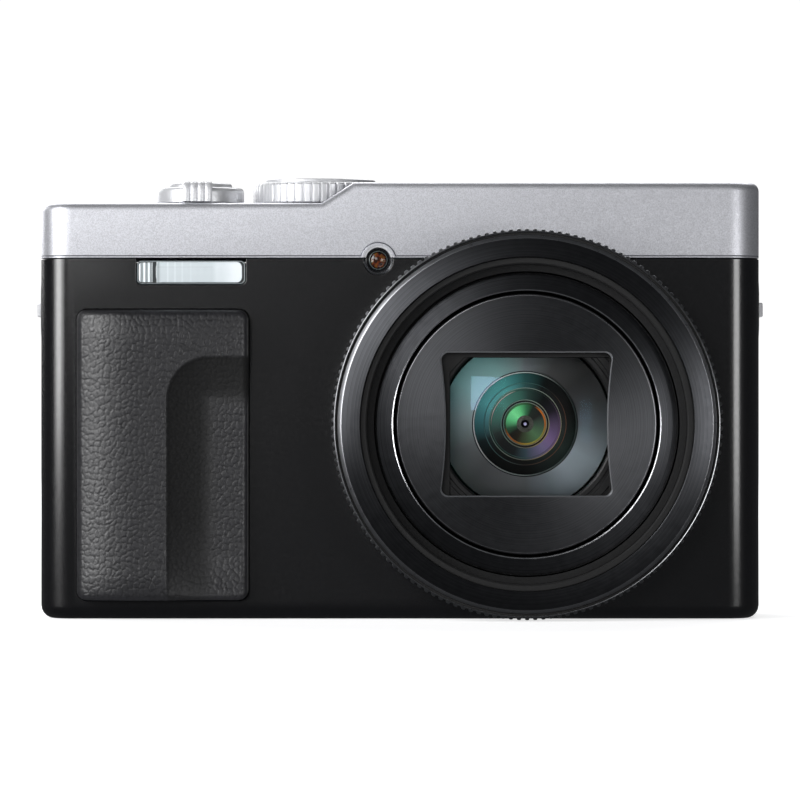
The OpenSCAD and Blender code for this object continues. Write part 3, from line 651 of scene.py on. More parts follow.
# Painted reflections and highlights, as tints by bearing round the axis, as shares of a turn: 0 is straight
# down, 0.25 the left and 0.5 the top.
CELL_PAINTED_REFLECTIONS = {
    "baffle": [
        (0.0, (58, 60, 61)), (0.12, (52, 52, 52)), (0.19, (66, 68, 68)), (0.27, (96, 108, 108)),
        (0.34, (98, 128, 126)), (0.42, (84, 112, 110)), (0.5, (68, 72, 73)), (0.57, (44, 44, 44)),
        (0.64, (38, 38, 38)), (0.7, (50, 51, 52)), (0.76, (74, 79, 82)), (0.83, (112, 121, 126)),
        (0.88, (108, 116, 121)), (0.94, (76, 82, 86)),
    ],
    "cell_rim": [
        (0.0, (84, 92, 90)), (0.12, (120, 126, 124)), (0.2, (236, 240, 240)), (0.4, (244, 246, 246)),
        (0.5, (150, 160, 156)), (0.62, (44, 52, 50)), (0.85, (60, 72, 68)),
    ],
    "outer_coating": [
        (0.0, (9, 10, 10)), (0.13, (7, 7, 7)), (0.19, (16, 26, 28)), (0.25, (43, 84, 88)),
        (0.33, (66, 126, 129)), (0.42, (60, 121, 120)), (0.5, (31, 63, 62)), (0.57, (10, 14, 14)),
        (0.7, (8, 8, 8)), (0.84, (22, 34, 30)), (0.94, (17, 22, 21)),
    ],
    "outer_line": [
        (0.0, (40, 34, 28)), (0.2, (48, 84, 84)), (0.45, (64, 116, 112)), (0.6, (20, 26, 24)),
        (0.75, (88, 58, 42)), (0.9, (80, 54, 38)),
    ],
    "middle_line": [
        (0.0, (84, 82, 70)), (0.25, (76, 108, 100)), (0.5, (104, 124, 116)), (0.7, (116, 122, 106)),
        (0.86, (150, 132, 88)),
    ],
    "inner_coating": [
        (0.0, (38, 52, 58)), (0.06, (15, 18, 19)), (0.15, (11, 12, 12)), (0.2, (20, 32, 30)),
        (0.28, (40, 80, 72)), (0.37, (55, 103, 94)), (0.45, (43, 84, 74)), (0.52, (26, 46, 42)),
        (0.6, (10, 14, 14)), (0.68, (20, 18, 26)), (0.76, (66, 52, 78)), (0.84, (92, 74, 110)),
        (0.9, (84, 76, 104)),
    ],
    "rose_line": [
        (0.24, (30, 60, 54)), (0.31, (176, 144, 144)), (0.42, (186, 158, 152)), (0.46, (30, 62, 54)),
        (0.62, (10, 12, 12)), (0.8, (92, 66, 100)), (0.98, (46, 60, 66)),
    ],
    "amber_coating": [
        (0.0, (112, 96, 34)), (0.08, (98, 56, 22)), (0.16, (108, 60, 18)), (0.22, (22, 36, 22)),
        (0.45, (46, 96, 56)), (0.58, (12, 12, 11)), (0.64, (150, 80, 18)), (0.75, (128, 76, 24)),
        (0.86, (90, 102, 42)),
    ],
    "green_coating": [
        (0.0, (44, 56, 36)), (0.08, (26, 22, 14)), (0.15, (16, 15, 12)), (0.21, (24, 60, 38)),
        (0.3, (66, 148, 94)), (0.37, (88, 172, 112)), (0.44, (72, 152, 96)), (0.51, (38, 88, 56)),
        (0.57, (20, 30, 24)), (0.66, (16, 17, 16)), (0.75, (36, 56, 42)), (0.88, (56, 86, 56)),
    ],
}
# Painted light: how much the baffle and the lens cell are brightened against the shade of the barrels.
BAFFLE_PAINTED_LIGHT = 4.8
CELL_PAINTED_LIGHT = 2.5


def build_front_element():
    """The holder with its grooved rim and smooth conical baffle, painted with reflections tinted by the
    bearing, and the front glass it carries.
    """
    cone = [(12.75, -9.6), (12.45, -9.48), (10.9, -8.4), (9.4, -7.25), (8.5, -6.6), (8.12, -6.32)]
    holder = [(8.1, -4.0), (18.45, -4.0), (18.45, -13.5), (18.2, -13.7), (16.4, -13.7), (16.3, -13.5),
              (15.7, -13.5), (15.6, -13.7), (14.7, -13.7), (14.6, -13.45), (14.1, -13.45), (14.0, -13.7),
              (13.45, -13.7), (13.2, -13.5), (13.2, -9.65), (12.8, -9.6)]
    piece = lathe("front_holder", holder + cone[1:], LENS, count=256)
    finish(piece, "inner_barrel", flat_black("holder_black", tone(17, 17, 18), 0.4),
           ("front_lens_holder",), angle=30)
    # painted reflections on the baffle, light and dark by the bearing and brightened by painted light
    baffle = painted_reflection_band("conical_baffle", CELL_PAINTED_REFLECTIONS["baffle"], BAFFLE_PAINTED_LIGHT)
    repaint(piece, baffle, lambda p: from_axis(p) < 12.8 and p.y < -6.3)

    glass = [(0, -9.7), (12.9, -9.7), (13.1, -9.9), (13.1, -10.65)] + dome(13.02, -10.8, -12.95)
    lens = lathe("front_glass", glass, LENS, count=256, closed=False)
    finish(lens, "inner_barrel", front_coating(), ("front_lens",), angle=20)


def build_inner_optics():
    """The second lens cell: stepped bands of coated glass between fine rings, round a small iris, with
    painted reflections on the bands and a painted glint at the centre.
    """
    profile = [(0, -4.1), (8.06, -4.1)]
    for outer, inner, outer_height, inner_height, _ in CELL_BANDS:
        profile += [(outer, outer_height), (inner, inner_height)]
    piece = lathe("second_lens_cell", profile, LENS, count=256, closed=False)
    looks = {
        "cell_black": flat_black("cell_black", tone(14, 14, 15), 0.35),
        "iris_brown": flat_black("iris_brown", tone(74, 76, 68), 0.3),
        # painted glint: the small bluish-white spot at the centre
        "blue_spot": coloured("painted_centre_glint", tone(206, 204, 255), 0.1),
    }
    # every other band gets painted reflections tinted by the bearing
    for name in sorted({look for *_, look in CELL_BANDS} - set(looks)):
        looks[name] = painted_reflection_band(name, CELL_PAINTED_REFLECTIONS[name], CELL_PAINTED_LIGHT)
    finish(piece, "inner_barrel", looks["cell_black"], angle=20)
    for outer, inner, _, _, look in CELL_BANDS:
        repaint(piece, looks[look], lambda p, a=outer, b=inner: b < from_axis(p) < a and p.y < -6.2)


build_control_ring()
build_lens_tube()
build_moving_barrels()
build_barrier_plate()
build_leaves()
build_window_shade_sheet()
build_front_element()
build_inner_optics()


# ---------------------------------------------------------------- grip, flash and body

def relief_panel(name, extent, corner, step, surface, back, marks=None):
    """A rounded rectangle whose front or back face is a height map, closed at one depth behind it.

    surface takes arrays of X and Z and gives Y. marks takes them too and gives named values for the look."""
    x0, x1, z0, z1 = extent
    rows = int((z1 - z0) / step) + 1
    columns = int((x1 - x0) / step) + 1
    levels = np.linspace(z0, z1, rows)
    into_corner = np.clip(corner - np.minimum(levels - z0, z1 - levels), 0, corner)
    inset = corner - np.sqrt(corner ** 2 - into_corner ** 2)
    share = np.linspace(0, 1, columns)[None, :]
    across = (x0 + inset)[:, None] * (1 - share) + (x1 - inset)[:, None] * share
    up = np.repeat(levels[:, None], columns, 1)
    depth = surface(across, up)
    vertices = [tuple(v) for v in np.stack([across, depth, up], -1).reshape(-1, 3)]

    def index(row, column):
        return row * columns + column

    faces = [[index(r, c), index(r, c + 1), index(r + 1, c + 1), index(r + 1, c)]
             for r in range(rows - 1) for c in range(columns - 1)]
    loop = [index(0, c) for c in range(columns)] + [index(r, columns - 1) for r in range(1, rows)]
    loop += [index(rows - 1, c) for c in range(columns - 2, -1, -1)]
    loop += [index(r, 0) for r in range(rows - 2, 0, -1)]
    first_back = len(vertices)
    vertices += [(vertices[v][0], back, vertices[v][2]) for v in loop]
    count = len(loop)
    for k in range(count):
        after = (k + 1) % count
        faces.append([loop[k], loop[after], first_back + after, first_back + k])
    faces.append([first_back + k for k in range(count)])
    piece = add_object(name, vertices, faces)
    if marks:
        for label, values in marks(across, up).items():
            stored = piece.data.attributes.new(label, "FLOAT", "POINT")
            padded = np.concatenate([values.ravel(), np.full(count, 0.5)])
            stored.data.foreach_set("value", padded.astype(np.float32))
    return piece


def depth_inside(x, z, extent, corner):
    """How far inside a rounded rectangle each point is."""
    x0, x1, z0, z1 = extent
    beyond_x = abs(x - (x0 + x1) / 2) - ((x1 - x0) / 2 - corner)
    beyond_z = abs(z - (z0 + z1) / 2) - ((z1 - z0) / 2 - corner)
    outside = np.hypot(np.maximum(beyond_x, 0), np.maximum(beyond_z, 0))
    return corner - outside - np.minimum(np.maximum(beyond_x, beyond_z), 0)


def ease(values, start, end):
    """0 before the start and 1 after the end, in a straight line between."""
    return np.clip((values - start) / (end - start), 0, 1)


def line_at(values, middle, width):
    """A soft line, 1 in the middle, of about that half width."""
    return np.exp(-((values - middle) / width) ** 2)


def rounded_edge(x, z, extent, corner, radius):
    """How far a face with a rounded rim stands back, and how far in each point is, up to 1."""
    inside = np.clip(depth_inside(x, z, extent, corner), 0, radius) / radius
    return radius * (1 - np.sqrt(1 - (1 - inside) ** 2)), inside


def leather_cells(x, z, size, seed):
    """How far each point is from the nearest crease of an irregular grain, and a height for its cell."""
    grid = 80
    jitter = np.random.default_rng(seed).random((grid, grid, 3))
    bend_x = 0.12 * np.sin(1.7 * z + 0.8 * x) + 0.07 * np.sin(4.1 * z - 2.3 * x)
    bend_z = 0.12 * np.sin(1.9 * x - 0.6 * z) + 0.07 * np.sin(3.7 * x + 3.2 * z)
    u = (x + bend_x) / size + 60
    v = (z + bend_z) / size / 1.15
    nearest = np.full(x.shape, 9.0)
    second = np.full(x.shape, 9.0)
    height = np.zeros(x.shape)
    for du in (-1, 0, 1):
        for dv in (-1, 0, 1):
            column = np.floor(u).astype(int) + du
            row = np.floor(v).astype(int) + dv
            spot = jitter[column % grid, row % grid]
            away = np.hypot(column + 0.1 + 0.8 * spot[..., 0] - u, row + 0.1 + 0.8 * spot[..., 1] - v)
            closer = away < nearest
            second = np.where(closer, nearest, np.minimum(second, away))
            height = np.where(closer, spot[..., 2], height)
            nearest = np.minimum(nearest, away)
    return second - nearest, height


GRIP_EXTENT = (-49.0, -23.05, 2.97, 46.97)
GRIP_CORNER = 1.5
GRIP_FACE_Y = -12.25
GRIP_BACK_Y = -10.12
POCKET_EDGE_X = -35.2
POCKET_TOP_Z = 39.8
POCKET_CORNER = 6.4
POCKET_WALL = 6.6


def pocket_depth(x, z):
    """How far a point lies inside the edge of the finger pocket."""
    centre_x = POCKET_EDGE_X + POCKET_CORNER
    centre_z = POCKET_TOP_Z - POCKET_CORNER
    in_corner = (x < centre_x) & (z > centre_z)
    plain = np.minimum(x - POCKET_EDGE_X, POCKET_TOP_Z - z)
    return np.where(in_corner, POCKET_CORNER - np.hypot(x - centre_x, z - centre_z), plain)


def grip_swell(x, z):
    """How far the grip stands in front of its base, with the finger pocket sunk into it."""
    across = (x - GRIP_EXTENT[0]) / (POCKET_EDGE_X - GRIP_EXTENT[0])
    left = 4.0 - 2.7 * np.maximum(0, 1 - across / 0.62) ** 2.1
    swell = left - 0.55 * np.clip((across - 0.62) / 0.6, 0, 2) ** 1.6
    swell *= 1 - 0.22 * ease(z, 42, 47) ** 2 - 0.15 * ease(-z, -7, -3) ** 2
    into = pocket_depth(x, z)
    share = ease(into, -0.35, POCKET_WALL - 0.35)
    fall = 1 - (1 - share) ** 1.3
    blend = ease(into, -0.35, 0.35)
    fall *= blend * blend * (3 - 2 * blend)
    fall *= 1 - 0.6 * ease(-z, -10, -3) ** 1.5
    return swell * (1 - fall) + 0.15 * fall


def leather_relief(x, z):
    """The grain: pebbles of two sizes between creases that fade in and out, as a height and a mark for
    painted shade in the creases and painted light on the crests.
    """
    crease, height = leather_cells(x, z, 0.84, 11)
    fine, fine_height = leather_cells(x + 7.3, z, 0.45, 23)
    fade = 0.5 + 0.25 * np.sin(0.9 * x + 1.3 * np.sin(0.7 * z))
    fade += 0.25 * np.sin(1.1 * z + 1.7 * np.sin(0.6 * x))
    plateau = 1 - (0.55 + 0.45 * fade) * np.exp(-(crease / 0.09) ** 1.2)
    wrinkle = 1 - (0.9 - 0.5 * fade) * np.exp(-(fine / 0.08) ** 1.2)
    crown = 0.03 * np.sqrt(np.clip(crease, 0, 0.6))
    grain = 0.06 * plateau + 0.03 * wrinkle + crown + 0.03 * height * plateau + 0.012 * fine_height
    return 0.6 * plateau + 0.4 * wrinkle, grain


def grip_surface(x, z):
    edge, inside = rounded_edge(x, z, GRIP_EXTENT, GRIP_CORNER, 0.9)
    _, grain = leather_relief(x, z)
    return GRIP_FACE_Y - grip_swell(x, z) + edge - grain * inside


def grip_marks(x, z):
    """Painted light on the leather's crests and painted shade in its creases, and where fingers rub it dull
    in the finger pocket, which painted shade also darkens.
    """
    crest, grain = leather_relief(x, z)
    into = pocket_depth(x, z)
    rubbed = ease(into, -0.3, 0.3) * (1 - ease(into, POCKET_WALL - 1.8, POCKET_WALL + 1.2))
    rubbed *= 0.3 + 0.7 * ease(z, 0, 16)
    # the first mark is painted shade in the creases and painted light on the crests, with more painted shade
    # in the finger pocket; the second also makes the pocket rougher
    return {"crest": np.clip(0.7 * crest + 3.5 * (grain - 0.04), 0, 1) * (1 - 0.8 * rubbed), "rubbed": rubbed}


def build_grip():
    panel = relief_panel("grip_leather", GRIP_EXTENT, GRIP_CORNER, 0.13, grip_surface, GRIP_BACK_Y,
                         grip_marks)
    finish(panel, "camera_body", leather(), ("grip_panel",), angle=60)


THUMB_EXTENT = (-49.3, -27.0, 40.5, 51.5)
THUMB_CORNER = 2.0
THUMB_FACE_Y = 19.1
THUMB_BACK_Y = 17.22


def thumb_surface(x, z):
    edge, inside = rounded_edge(x, z, THUMB_EXTENT, THUMB_CORNER, 1.6)
    climb = ease(x, -31.5, -28.0)
    ridge = 1.5 * climb ** 2 * (3 - 2 * climb)
    _, grain = leather_relief(x, z)
    return THUMB_FACE_Y + ridge - edge + grain * inside


def build_thumb_pad():
    pad = relief_panel("thumb_leather", THUMB_EXTENT, THUMB_CORNER, 0.16, thumb_surface, THUMB_BACK_Y,
                       grip_marks)
    finish(pad, "camera_body", leather(), ("thumb_pad",), angle=60)


FLASH_EXTENT = (-40.0, -23.5, 50.9, 54.5)
FLASH_CORNER = 0.75
FLASH_FACE_Y = -10.22
FLASH_BACK_Y = -9.72
FLASH_WINDOW = (-37.05, -24.0, 51.15, 54.3)
RIB_PITCH = 0.72


def flash_zones(x, z):
    """Where the flash is outer frame, upright ribs and clear window, as shares, and the wave of the ribs."""
    inside = depth_inside(x, z, FLASH_EXTENT, FLASH_CORNER)
    left, _, low, high = FLASH_WINDOW
    window = np.clip(depth_inside(x, z, FLASH_WINDOW, 0.85) / 0.1 + 0.5, 0, 1)
    square_end = ease(x, left, left + 0.1) * (1 - ease(x, -36.3, -36.2))
    window = np.clip(window + square_end, 0, 1)
    window *= ease(z, low - 0.05, low + 0.03) * (1 - ease(z, high - 0.03, high + 0.05))
    ribs = (1 - ease(x, -37.63, -37.55)) * ease(inside, 0.25, 0.33) * (1 - window)
    frame_line = np.clip(1 - abs(inside - 0.12) / 0.09, 0, 1)
    wave = 0.5 + 0.5 * np.cos(TAU * (x + 39.55) / RIB_PITCH)
    return frame_line, ribs, window, wave


def flash_surface(x, z):
    """Upright ribs beside a clear window with faint lines in it, inside a thin raised frame."""
    frame_line, ribs, window, wave = flash_zones(x, z)
    lines = 0.004 * np.cos(TAU * x / 1.15) + 0.002 * np.cos(TAU * z / 1.1)
    return FLASH_FACE_Y - 0.24 * frame_line - ribs * 0.3 * wave - window * (0.2 + lines)


def flash_marks(x, z):
    """How bright each part looks: painted highlights on the rib crests and raised frame, painted shade in the
    gaps between ribs, and a window that clears to white.
    """
    frame_line, ribs, window, wave = flash_zones(x, z)
    shine = 0.74 + 0.08 * ease(x, -28.6, -27.8) + 0.12 * ease(x, -26.8, -25.2)
    for middle, strength in ((-35.3, 0.10), (-34.2, 0.09), (-33.1, 0.07), (-31.8, 0.05)):
        shine += strength * line_at(x, middle, 0.12)
    shine -= 0.05 * line_at(z, 53.5, 0.1) * (x < -28.5) + 0.22 * line_at(x, -36.75, 0.22)
    # painted highlight on the raised frame and rib crests, and painted shade in the gaps between ribs
    bright = 0.1 + 0.62 * frame_line + ribs * (0.3 + 0.62 * wave)
    return {"shine": np.clip(bright * (1 - window) + shine * window, 0, 1)}


def build_flash():
    window = relief_panel("flash_cover", FLASH_EXTENT, FLASH_CORNER, 0.055, flash_surface, FLASH_BACK_Y,
                          flash_marks)
    look = Look("flash_diffuser", tone(206, 213, 216), 0.14, Coat_Weight=1.0, Coat_Roughness=0.05)
    look.colors(look.attribute("shine"), [(0.0, tone(20, 21, 22)), (0.25, tone(88, 93, 95)),
                                          (0.5, tone(160, 168, 171)), (0.75, tone(204, 213, 217)),
                                          (1.0, tone(240, 246, 250))])
    look.bump(look.noise(1.4, 1.0, look.vector("MULTIPLY", look.place, (1, 1, 0.05))), 0.01)
    finish(window, "camera_body", look.material, ("flash_window",), angle=30)


def build_lamp():
    """The lamp: a bright hollow cone round a black bezel, and an amber glass."""
    bezel = [(2.2, -8.6), (2.2, -10.5), (1.92, -10.26), (1.88, -10.3), (1.8, -10.32), (1.72, -10.2),
             (1.45, -10.05), (1.4, -10.28), (1.32, -10.32), (1.25, -10.25), (1.25, -9.2), (0.0, -9.2),
             (0.0, -8.6)]
    piece = lathe("lamp_rim", bezel, LAMP, count=96)
    finish(piece, "camera_body", coloured("lamp_rim_black", tone(24, 25, 27), 0.25),
           ("lamp_bezel",), angle=40)
    cone = coloured("lamp_cone", tone(176, 178, 182), 0.2, metallic=1.0)
    repaint(piece, cone, lambda p: from_axis(p, LAMP) > 1.93 and p.y < -10.2)
    ring = coloured("lamp_ring_grey", tone(84, 94, 92), 0.25)
    repaint(piece, ring, lambda p: 1.3 < from_axis(p, LAMP) < 1.4 and p.y < -10.2)
    glass = [(0, -9.22), (1.2, -9.22), (1.2, -10.05)] + dome(1.16, -10.1, -10.38, 0.0, 8)
    lens = lathe("lamp_glass", glass, LAMP, count=96, closed=False)
    look = Look("lamp_amber", tone(110, 66, 38), 0.1, Coat_Weight=0.6)
    look.colors(look.noise(1.7, 2.0), [(0.36, tone(22, 20, 19)), (0.46, tone(52, 30, 20)),
                                       (0.54, tone(96, 40, 22)), (0.6, tone(110, 74, 24)),
                                       (0.68, tone(40, 44, 26)), (0.8, tone(150, 140, 110))])
    look.bump(look.cells(2.5), 0.05)
    finish(lens, "camera_body", look.material, ("lamp_lens",), angle=40)


def build_lamp_arch():
    """The silver lip over the lamp's upper half, which ends just under the seam groove on both sides."""
    inner, outer = 1.9, 2.34
    steps = 48
    rise = math.asin((SEAM_GROOVE_Z - 0.27 - LAMP[2]) / 2.1)
    outline = []
    for radius, turns in ((outer, range(steps + 1)), (inner, range(steps, -1, -1))):
        for turn in turns:
            angle = rise + (math.pi - 2 * rise) * turn / steps
            outline.append((LAMP[0] + radius * math.cos(angle), LAMP[2] + radius * math.sin(angle)))
    arch = prism("lamp_arch", outline, -10.56, -10.1)
    silver = coloured("arch_silver", tone(222, 223, 227), 0.4, metallic=0.6)
    finish(arch, "camera_body", silver)
    bevel(arch, 0.12)


def build_shell():
    silver = painted_silver()
    black = satin_black()
    carried("top_cover", 0.22, "camera_body", silver, angle=28)
    carried("front_cover", 0.12, "camera_body", black)
    carried("rear_cover", 0.2, "camera_body", black)
    carried("base_plate", 0.2, "camera_body", moulded_black())
    carried("strap_lugs", 0.25, "camera_body", coloured("lug_metal", tone(214, 215, 218), 0.34,
                                                        metallic=0.4))
    carried("terminal_door", 0.25, "terminal_door", moulded_black())


build_grip()
build_thumb_pad()
build_flash()
build_lamp()
build_lamp_arch()
build_shell()


# ---------------------------------------------------------------- controls on the top

def build_mode_dial():
    """A fluted dial with broad lands, a bevelled shoulder, a sunk top and a ring of engraved marks."""
    flutes = 48
    full = teeth(flutes, 9.6, 9.88, width=0.8, soft=0.18)
    low = teeth(flutes, 9.5, 9.72, width=0.8, soft=0.18)
    profile = [(0, CONTROLS_Z), (9.3, CONTROLS_Z), (low, 63.54), (full, 63.7), (full, 66.3),
               (low, 66.52), (9.2, 66.7), (9.05, 66.75), (8.98, 67.08), (8.85, 67.18), (8.3, 67.19),
               (8.2, 67.12), (3.2, 67.12), (3.0, 67.16), (0, 67.16)]
    piece = lathe("mode_dial_cap", profile, MODE_DIAL, "z", 48 * 16, closed=False)
    flank = dial_silver("dial_flank", MODE_DIAL)
    finish(piece, "mode_dial", flank, ("mode_dial",), angle=28)
    top = dial_silver("dial_top", MODE_DIAL)
    repaint(piece, top, lambda p: p.z > 66.9)
    ink = coloured("engraved_ink", tone(28, 28, 30), 0.5)
    for number in range(9):
        build_dial_mark(number, TAU * number / 9, ink)


def build_dial_mark(number, turn, ink):
    """One engraved mark, inlaid in the dial's top: a bar for each setting, and a dot every third."""
    centre = (MODE_DIAL[0] + 7.0 * math.sin(turn), MODE_DIAL[1] - 7.0 * math.cos(turn), 0)
    if number % 3 == 0:
        mark = lathe(f"dial_dot_{number}", [(0, 67.05), (0.42, 67.05), (0.42, 67.15), (0, 67.15)], centre,
                     "z", 32, closed=False)
    else:
        along = Vector((math.sin(turn), -math.cos(turn)))
        side = Vector((along.y, -along.x))
        corners = [along * a * 0.75 + side * b * 0.2 for a, b in ((-1, -1), (1, -1), (1, 1), (-1, 1))]
        outline = [(centre[0] + c.x, centre[1] + c.y) for c in corners]
        mark = prism(f"dial_bar_{number}", rounded(outline, 0.15, 3), 67.05, 67.15, "xy")
    finish(mark, "mode_dial", ink)


def build_lever_collar():
    """The collar round the release, with a rounded shoulder."""
    collar = [(5.2, 60.6), (5.42, 60.6), (5.42, CONTROLS_Z), (6.8, CONTROLS_Z), (6.9, 63.62), (6.9, 65.1),
              (6.86, 65.4), (6.72, 65.66), (6.48, 65.82), (6.2, 65.87), (5.4, 65.88), (5.2, 65.75)]
    piece = lathe("lever_collar", collar, RELEASE, "z", 192)
    finish(piece, "zoom_lever", dial_silver("lever_silver", RELEASE), ("zoom_lever",),
           angle=40)


def ridged_edge(half_width, count):
    """Points along a row of rounded ridges, as (across, rise)."""
    points = []
    pitch = 2 * half_width / count
    for ridge in range(count):
        middle = -half_width + pitch * (ridge + 0.5)
        for step in range(9):
            turn = math.pi * step / 8
            points.append((middle - 0.5 * pitch * math.cos(turn), 0.42 * math.sin(turn) ** 0.7))
    return points


def build_lever_tab():
    """The finger tab: upright ridges that run over its top edge and down its front."""
    half_width = 2.2
    ridges = ridged_edge(half_width, 4)
    levels = [(-5.6, 66.15, 0.5), (-6.0, 66.3, 0.9), (-7.2, 66.32, 1.0), (-7.8, 66.2, 1.0),
              (-8.2, 65.85, 1.0), (-8.28, 65.3, 1.0), (-8.28, 63.6, 1.0)]
    normals = [(0, 1), (0.0, 1), (-0.15, 1), (-0.45, 0.9), (-0.85, 0.5), (-1, 0), (-1, 0)]
    vertices = []
    for (y, z, swell), (out_y, out_z) in zip(levels, normals):
        for x, rise in ridges:
            vertices.append((RELEASE[0] + x, y + out_y * rise * swell, z + out_z * rise * swell))
    across = len(ridges)
    faces = [[r * across + c, r * across + c + 1, (r + 1) * across + c + 1, (r + 1) * across + c]
             for r in range(len(levels) - 1) for c in range(across - 1)]
    base = len(vertices)
    vertices += [(RELEASE[0] + x, y, CONTROLS_Z) for y in (-5.6, -8.2) for x in (-half_width, half_width)]
    left = [r * across for r in range(len(levels))]
    right = [r * across + across - 1 for r in range(len(levels))]
    faces.append(left + [base + 2, base])
    faces.append(right + [base + 3, base + 1])
    faces.append([base, base + 1] + [c for c in range(across - 1, -1, -1)])
    last = (len(levels) - 1) * across
    faces.append([base + 2, base + 3] + [last + c for c in range(across - 1, -1, -1)])
    faces.append([base, base + 1, base + 3, base + 2])
    tab = add_object("lever_tab", vertices, faces)
    silver = coloured("tab_silver", tone(226, 227, 230), 0.36, metallic=0.35)
    finish(tab, "zoom_lever", silver, angle=40)


def build_shutter_button():
    """The release: a disc with a rounded rim and a shallow dish, hollow below where its spring goes in."""
    profile = [(0, 59.1), (1.4, 59.1), (1.4, 65.15), (2.95, 65.15), (2.95, 64.65), (4.95, 64.65),
               (5.05, 64.75), (5.05, 66.1), (4.98, 66.36), (4.8, 66.52), (4.5, 66.58), (4.2, 66.54),
               (3.4, 66.42), (2.2, 66.32), (1.0, 66.27), (0, 66.26)]
    piece = lathe("release_cap", profile, RELEASE, "z", 160, closed=False)
    finish(piece, "shutter_button", dial_silver("release_silver", RELEASE),
           ("shutter_button",), angle=40)


def build_deck_button(name, x, y, radius, top, material, slot):
    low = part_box(name)[0][2] / MM
    rim = top - 0.18
    profile = [(0, low), (radius - 0.5, low), (radius - 0.5, 62.4), (radius, 62.4), (radius, rim),
               (radius - 0.06, top - 0.06), (radius - 0.18, top), (radius - 0.55, top - 0.02),
               (radius - 0.7, top - 0.14), (0, top - 0.2)]
    piece = lathe(name + "_cap", profile, (x, y, 0), "z", 96, closed=False)
    finish(piece, name, material, (name,), angle=40)


def build_top_controls():
    build_mode_dial()
    build_lever_collar()
    build_lever_tab()
    build_shutter_button()
    power = (-41.5, 9.5)
    build_deck_button("power_button", *power, 2.9, 63.9, dial_silver("power_silver", (*power, 0)),
                      "dial_silver")
    record = (-27.0, 11.2)
    build_deck_button("record_button", *record, 2.4, 63.9, coloured("record_red", tone(176, 30, 34), 0.3),
                      "record_red")


# ---------------------------------------------------------------- back and base

def build_rear_dial():
    """The ribbed ring with four pointer marks."""
    ribs = teeth(72, 9.35, 9.6, width=0.6, soft=0.2)
    soft_ribs = teeth(72, 9.2, 9.4, width=0.6, soft=0.2)
    profile = [(6.4, 14.05), (10.4, 14.05), (10.4, 15.3), (9.3, 15.3), (ribs, 15.4), (ribs, 17.9),
               (soft_ribs, 18.15), (9.0, 18.28), (8.7, 18.3), (8.2, 18.1), (7.2, 18.0), (6.6, 18.1),
               (6.4, 17.9)]
    piece = lathe("rear_dial_ring", profile, REAR_DIAL, "y", 72 * 12)
    finish(piece, "rear_dial", coloured("rear_dial_black", tone(44, 44, 48), 0.38, grain=6.0),
           ("rear_dial",), angle=32)
    ink = coloured("dial_ink", tone(206, 208, 210), 0.45)
    for quarter in range(4):
        turn = TAU * quarter / 4
        centre_x = REAR_DIAL[0] + 7.7 * math.sin(turn)
        centre_z = REAR_DIAL[2] + 7.7 * math.cos(turn)
        corners = [turn + TAU * k / 3 for k in range(3)]
        spots = [(centre_x + 0.55 * math.sin(c), centre_z + 0.55 * math.cos(c)) for c in corners]
        mark = prism(f"dial_pointer_{quarter}", rounded(spots, 0.08, 2), 17.95, 18.1)
        finish(mark, "rear_dial", ink)


def build_set_button():
    """The button inside the rear dial."""
    button = [(0, 12.5), (6.2, 12.5), (6.2, 17.75), (6.08, 17.95), (5.8, 18.0), (5.2, 17.94), (4.9, 17.8),
              (0, 17.6)]
    piece = lathe("set_cap", button, REAR_DIAL, "y", 144, closed=False)
    finish(piece, "set_button", satin_black(), ("set_button",), angle=40)


def build_rear_button(name, x, z, icon):
    """A round key with a dished face and a raised generic mark."""
    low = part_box(name)[0][1] / MM
    profile = [(0, low), (2.0, low), (2.4, low + 0.4), (2.4, 17.4), (2.34, 17.6), (2.2, 17.69),
               (1.95, 17.66), (0, 17.5)]
    piece = lathe(name + "_cap", profile, (x, 0, z), "y", 96, closed=False)
    finish(piece, name, coloured("key_black", tone(34, 34, 37), 0.4, grain=6.0), (name,),
           angle=40)
    ink = coloured("key_ink", tone(206, 208, 210), 0.45)
    for number, outline in enumerate(icon):
        shape = [(x + u, z + v) for u, v in outline]
        mark = prism(f"{name}_mark_{number}", rounded(shape, 0.06, 2), 17.5, 17.66)
        finish(mark, name, ink)


def bars(heights):
    """Level strokes, one at each height."""
    half_length, half_width = 0.85, 0.13
    return [rectangle(-half_length, half_length, z - half_width, z + half_width) for z in heights]


KEY_ICONS = {
    "play_button": [[(0.6, -0.85), (0.6, 0.85), (-0.8, 0.0)]],
    "display_button": [rectangle(-0.9, 0.9, 0.5, 0.7), rectangle(-0.9, 0.9, -0.7, -0.5),
                       rectangle(-0.9, -0.7, -0.5, 0.5), rectangle(0.7, 0.9, -0.5, 0.5)],
    "menu_button": bars((0.6, 0.0, -0.6)),
    "delete_button": [rectangle(-0.9, 0.9, 0.55, 0.75), [(-0.7, 0.4), (0.7, 0.4), (0.5, -0.9), (-0.5, -0.9)]],
}


def build_screen():
    """The flip screen: its tray, and a dark glass with the picture area showing through it."""
    carried("screen_housing", 0.4, "screen", satin_black())
    glass = carried("screen_glass", 0.25, "screen", gloss_black(), segments=2)
    low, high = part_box("screen_glass")
    centre = [(a + b) / 2 / MM for a, b in zip(low, high)]
    half_x = (high[0] - low[0]) / 2 / MM - 3.2
    half_z = (high[2] - low[2]) / 2 / MM - 3.2
    look = Look("display_glass", tone(9, 9, 11), 0.06, Coat_Weight=0.6)
    offset = look.vector("SUBTRACT", look.place, centre)
    scaled = look.vector("ABSOLUTE", look.vector("DIVIDE", offset, (half_x, 1e6, half_z)))
    parts = look.parts(scaled)
    edge = look.math("MAXIMUM", parts["X"], parts["Z"])
    look.colors(look.span(edge, 0.0, 1.0, 0.99, 1.01), [(0.0, tone(25, 28, 33)), (1.0, tone(8, 8, 9))])
    look.bump(look.noise(0.2), 0.0008)
    glass.data.materials[0] = look.material


